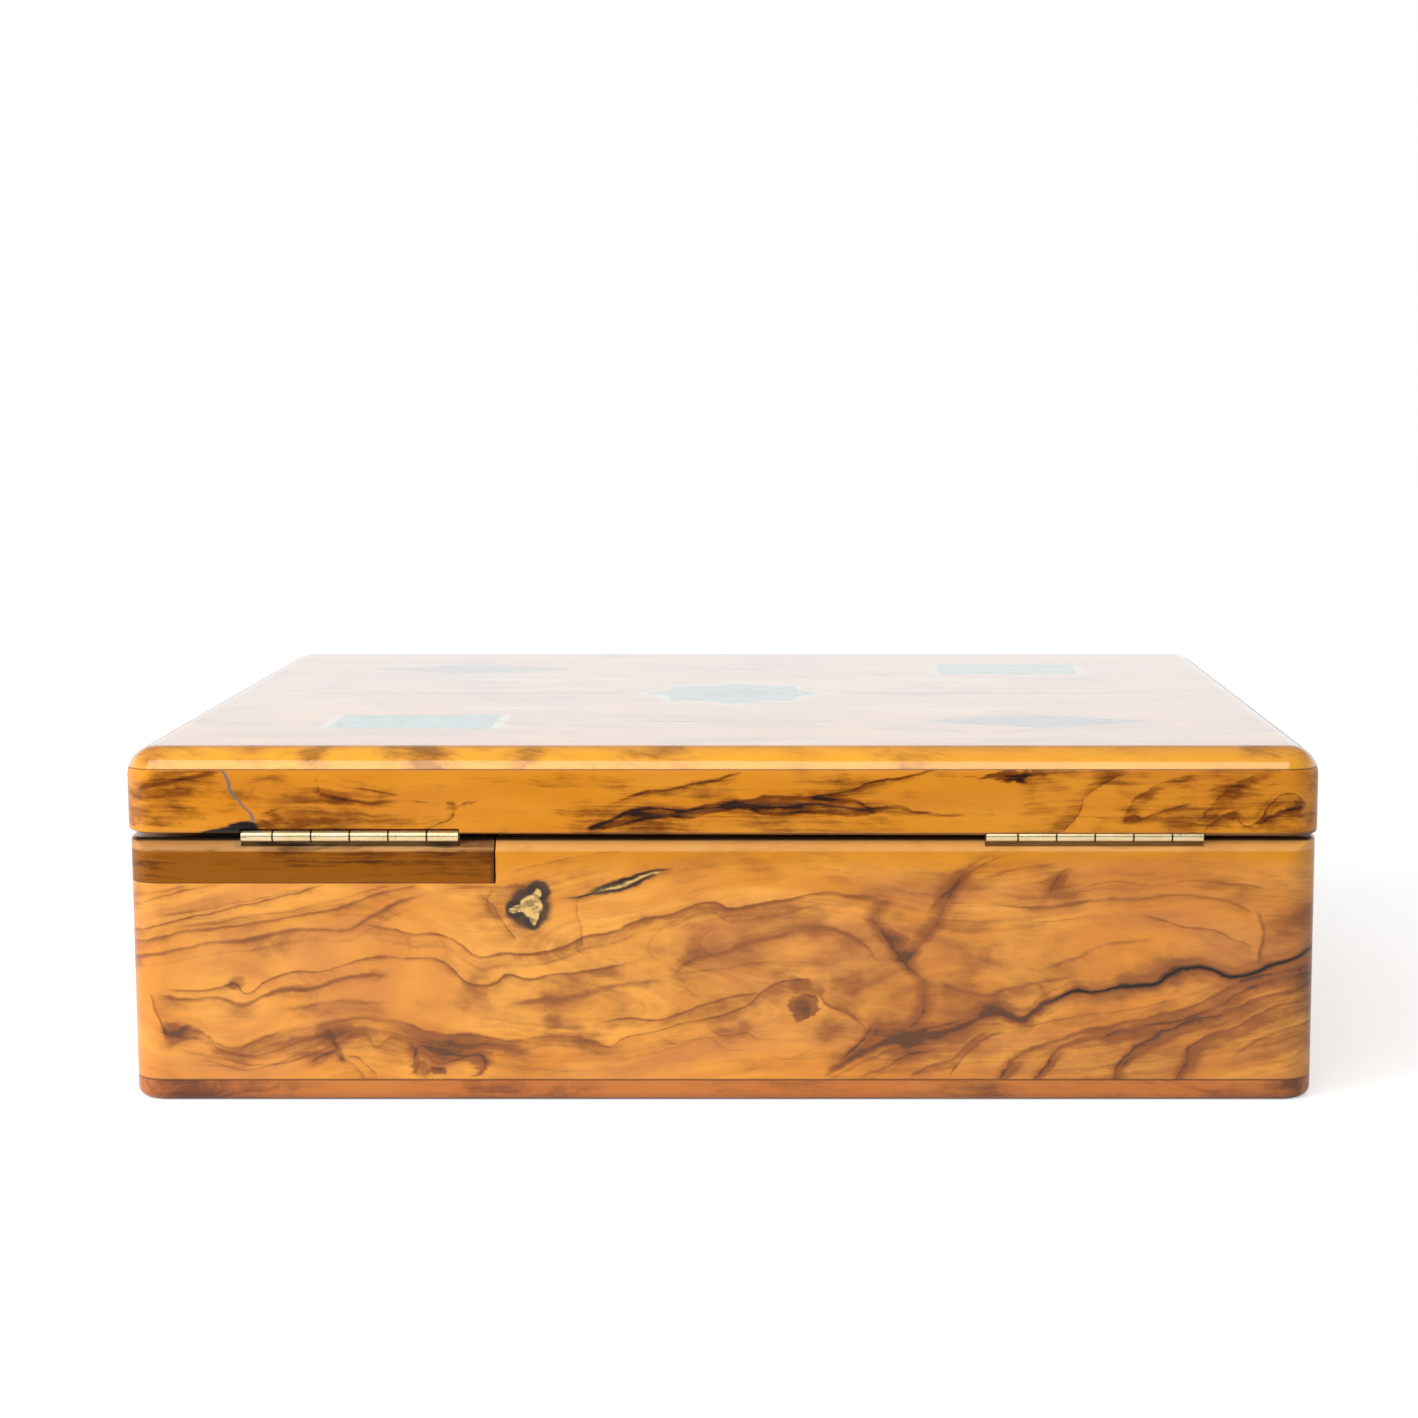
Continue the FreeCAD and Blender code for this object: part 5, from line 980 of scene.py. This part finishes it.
def brassFinish(name, seed, tarnished):
    paint = Finish(name, Metallic=0.7, IOR=1.5)
    x, y, z = paint.placeInMm()
    place = paint.vector(x, y, z)
    barrel, pitch, under = brass["barrel"], brass["pitch"], brass["under"]
    wear = paint.step(paint.cloud(place, (5, 2.4, 2.4), 4.0, seed), 0.35, 0.70)
    drawn = paint.cloud(place, (14, brass["streak"], brass["streak"]), 3.0, seed + 2.2)
    spots = paint.step(paint.cloud(place, (1.4, 0.9, 0.9), 3.0, seed + 5.0), 0.60, 0.76)
    colour = paint.mix(wear * 0.75, brass["bright"], brass["worn"])
    colour = paint.mix(paint.step(y, barrel, barrel - brass["leafSoft"]) * 0.8, colour, brass["leaf"])
    colour = paint.mix((spots * tarnished).least(1.0), colour, brass["tarnish"])
    along = abs(x) - brass["centre"]                    # both hinges alike: dark joints between their knuckles
    nearest = abs(along / pitch - (along / pitch + 0.5).floor()) * pitch
    onBarrel = paint.step(y, barrel - brass["barrelSoft"], barrel)
    joint = (1 - paint.step(nearest, *brass["jointWidth"])) * (onBarrel * paint.step(abs(along), *brass["jointEnds"]))
    colour = paint.mix(joint * 0.9, colour, brass["seamAndShade"])
    # painted shade on the barrel's underside, in the dark joint colour
    paintedUnderShade = paint.step(z, under, under - brass["underDepth"]) * onBarrel
    colour = paint.mix(paintedUnderShade * 0.88, colour, brass["seamAndShade"])
    roughness = brass["roughness"] + (drawn - 0.5) * 0.22 + spots * 0.18 + paintedUnderShade * 0.3
    return paint.finish(colour, roughness, drawn * 0.6 - spots * 0.4, 0.25, 0.0001)


brassLeaf = brassFinish("brass_leaf", 4.0, 0.55)
brassPin = brassFinish("brass_pin", 12.0, 0.8)
brassScrew = brassFinish("brass_screw", 21.0, 0.9)
for side in ("right", "left"):
    for part, material in (("base_leaf", brassLeaf), ("lid_leaf", brassLeaf), ("pin", brassPin),
                           ("base_screws", brassScrew), ("lid_screws", brassScrew)):
        dress(f"{side}_hinge_{part}", material)
print("hinges painted")


# floor, light and camera

studio = {
    "floorWide": 6.0, "floorFront": 0.38, "floorBack": -3.0,    # the paper ends a little way in front of the lens
    "floor": (0.86, 0.86, 0.86), "floorLift": 0.50, "farLift": 0.75, "farFrom": (0.5, 1.4),    # paler further off
    "floorMirror": 0.08,                                # what polished faces see of the floor
    "ambient": 0.385, "zenith": 0.24, "room": 0.10,     # what polished faces see overhead and behind the camera
    "behind": (-0.35, 0.75), "horizon": 0.30, "overheadFrom": 0.60,
    "overhead": {"place": (0.30, 1.10, 1.00), "aim": (0, 0.1, 0.06), "size": (1.55, 1.0), "watts": 10.4},
    "window": {"place": (1.20, 0.66, 0.50), "aim": (0, 0, 0.04), "size": (0.9, 0.9), "watts": 16, "mirrored": False},
    "camera": {"place": (-0.01983, 0.74456, 0.17217), "turn": (82.92, 0, 180), "lens": 70.04, "shift": (-0.0693, 0)},
}

floorMesh = bmesh.new()
bmesh.ops.create_grid(floorMesh, x_segments=8, y_segments=8, size=0.5)
reach = studio["floorFront"] - studio["floorBack"]
bmesh.ops.scale(floorMesh, vec=(studio["floorWide"], reach, 1), verts=floorMesh.verts)
bmesh.ops.translate(floorMesh, vec=(0, (studio["floorFront"] + studio["floorBack"]) / 2, 0), verts=floorMesh.verts)
floorData = bpy.data.meshes.new("floor")
floorMesh.to_mesh(floorData)
floorMesh.free()
floor = bpy.data.objects.new("floor", floorData)
scene.collection.objects.link(floor)

floorPaint = Finish("floor_paper", Roughness=0.9)
floorPaint.feed(floorPaint.shader.inputs["Base Color"], (*studio["floor"], 1.0))
seen, glossy, clear = [floorPaint.ray(kind) for kind in ("Camera", "Glossy", "Transmission")]
mirror = glossy.most(clear)
place = floorPaint.node("TexCoord", {}, {}, "Object")
distance = floorPaint.node("VectorMath", {"operation": "LENGTH"}, {0: place}, "Value")
lift = studio["floorLift"] + floorPaint.step(distance, *studio["farFrom"]) * (studio["farLift"] - studio["floorLift"])
glow = floorPaint.mix(seen * lift + mirror * studio["floorMirror"], (0, 0, 0), (1, 1, 1))
floorPaint.feed(floorPaint.shader.inputs["Emission Color"], glow)
floorPaint.shader.inputs["Emission Strength"].default_value = 1.0
floorData.materials.append(floorPaint.material)

world = bpy.data.worlds.new("studio")
scene.world = world
world.use_nodes = True
background = world.node_tree.nodes["Background"]
sky = Sheet(world.node_tree)
heading = sky.node("TexCoord", {}, {}, "Generated")
height = sky.node("SeparateXYZ", {}, {"Vector": heading}, "Z")
behind = sky.step(sky.node("SeparateXYZ", {}, {"Vector": heading}, "Y"), *studio["behind"])
backdrop = sky.curve(height, [(-1.0, 1.0), (studio["horizon"], 1.0), (studio["overheadFrom"], studio["zenith"]),
                              (1.0, studio["zenith"])])
mirrored = backdrop * (1 - behind) + studio["room"] * behind
camera, glossy, clear = [sky.ray(kind) for kind in ("Camera", "Glossy", "Transmission")]
lit = (1 - camera) * (1 - glossy) * (1 - clear) * studio["ambient"]
sky.feed(background.inputs["Strength"], lit + camera + glossy.most(clear) * (1 - camera) * mirrored)
background.inputs["Color"].default_value = (1, 1, 1, 1)


def softBox(name, box):
    data = bpy.data.lights.new(name, "AREA")
    data.shape = "RECTANGLE"
    data.size, data.size_y = box["size"]
    data.energy = box["watts"]
    lamp = bpy.data.objects.new(name, data)
    lamp.visible_glossy = box.get("mirrored", True)     # the window is kept out of the polished lid
    scene.collection.objects.link(lamp)
    lamp.location = box["place"]
    aim = [target - own for target, own in zip(box["aim"], box["place"])]
    lamp.rotation_euler = Vector(aim).to_track_quat("-Z", "Y").to_euler()


softBox("overhead", studio["overhead"])
softBox("window", studio["window"])

lens = bpy.data.cameras.new("camera")
lens.lens = studio["camera"]["lens"]
lens.sensor_width = 36
lens.shift_x, lens.shift_y = studio["camera"]["shift"]
viewer = bpy.data.objects.new("camera", lens)
viewer.location = studio["camera"]["place"]
viewer.rotation_euler = [radians(turn) for turn in studio["camera"]["turn"]]
scene.collection.objects.link(viewer)
scene.camera = viewer
scene.view_settings.view_transform = "Standard"
print("studio set")
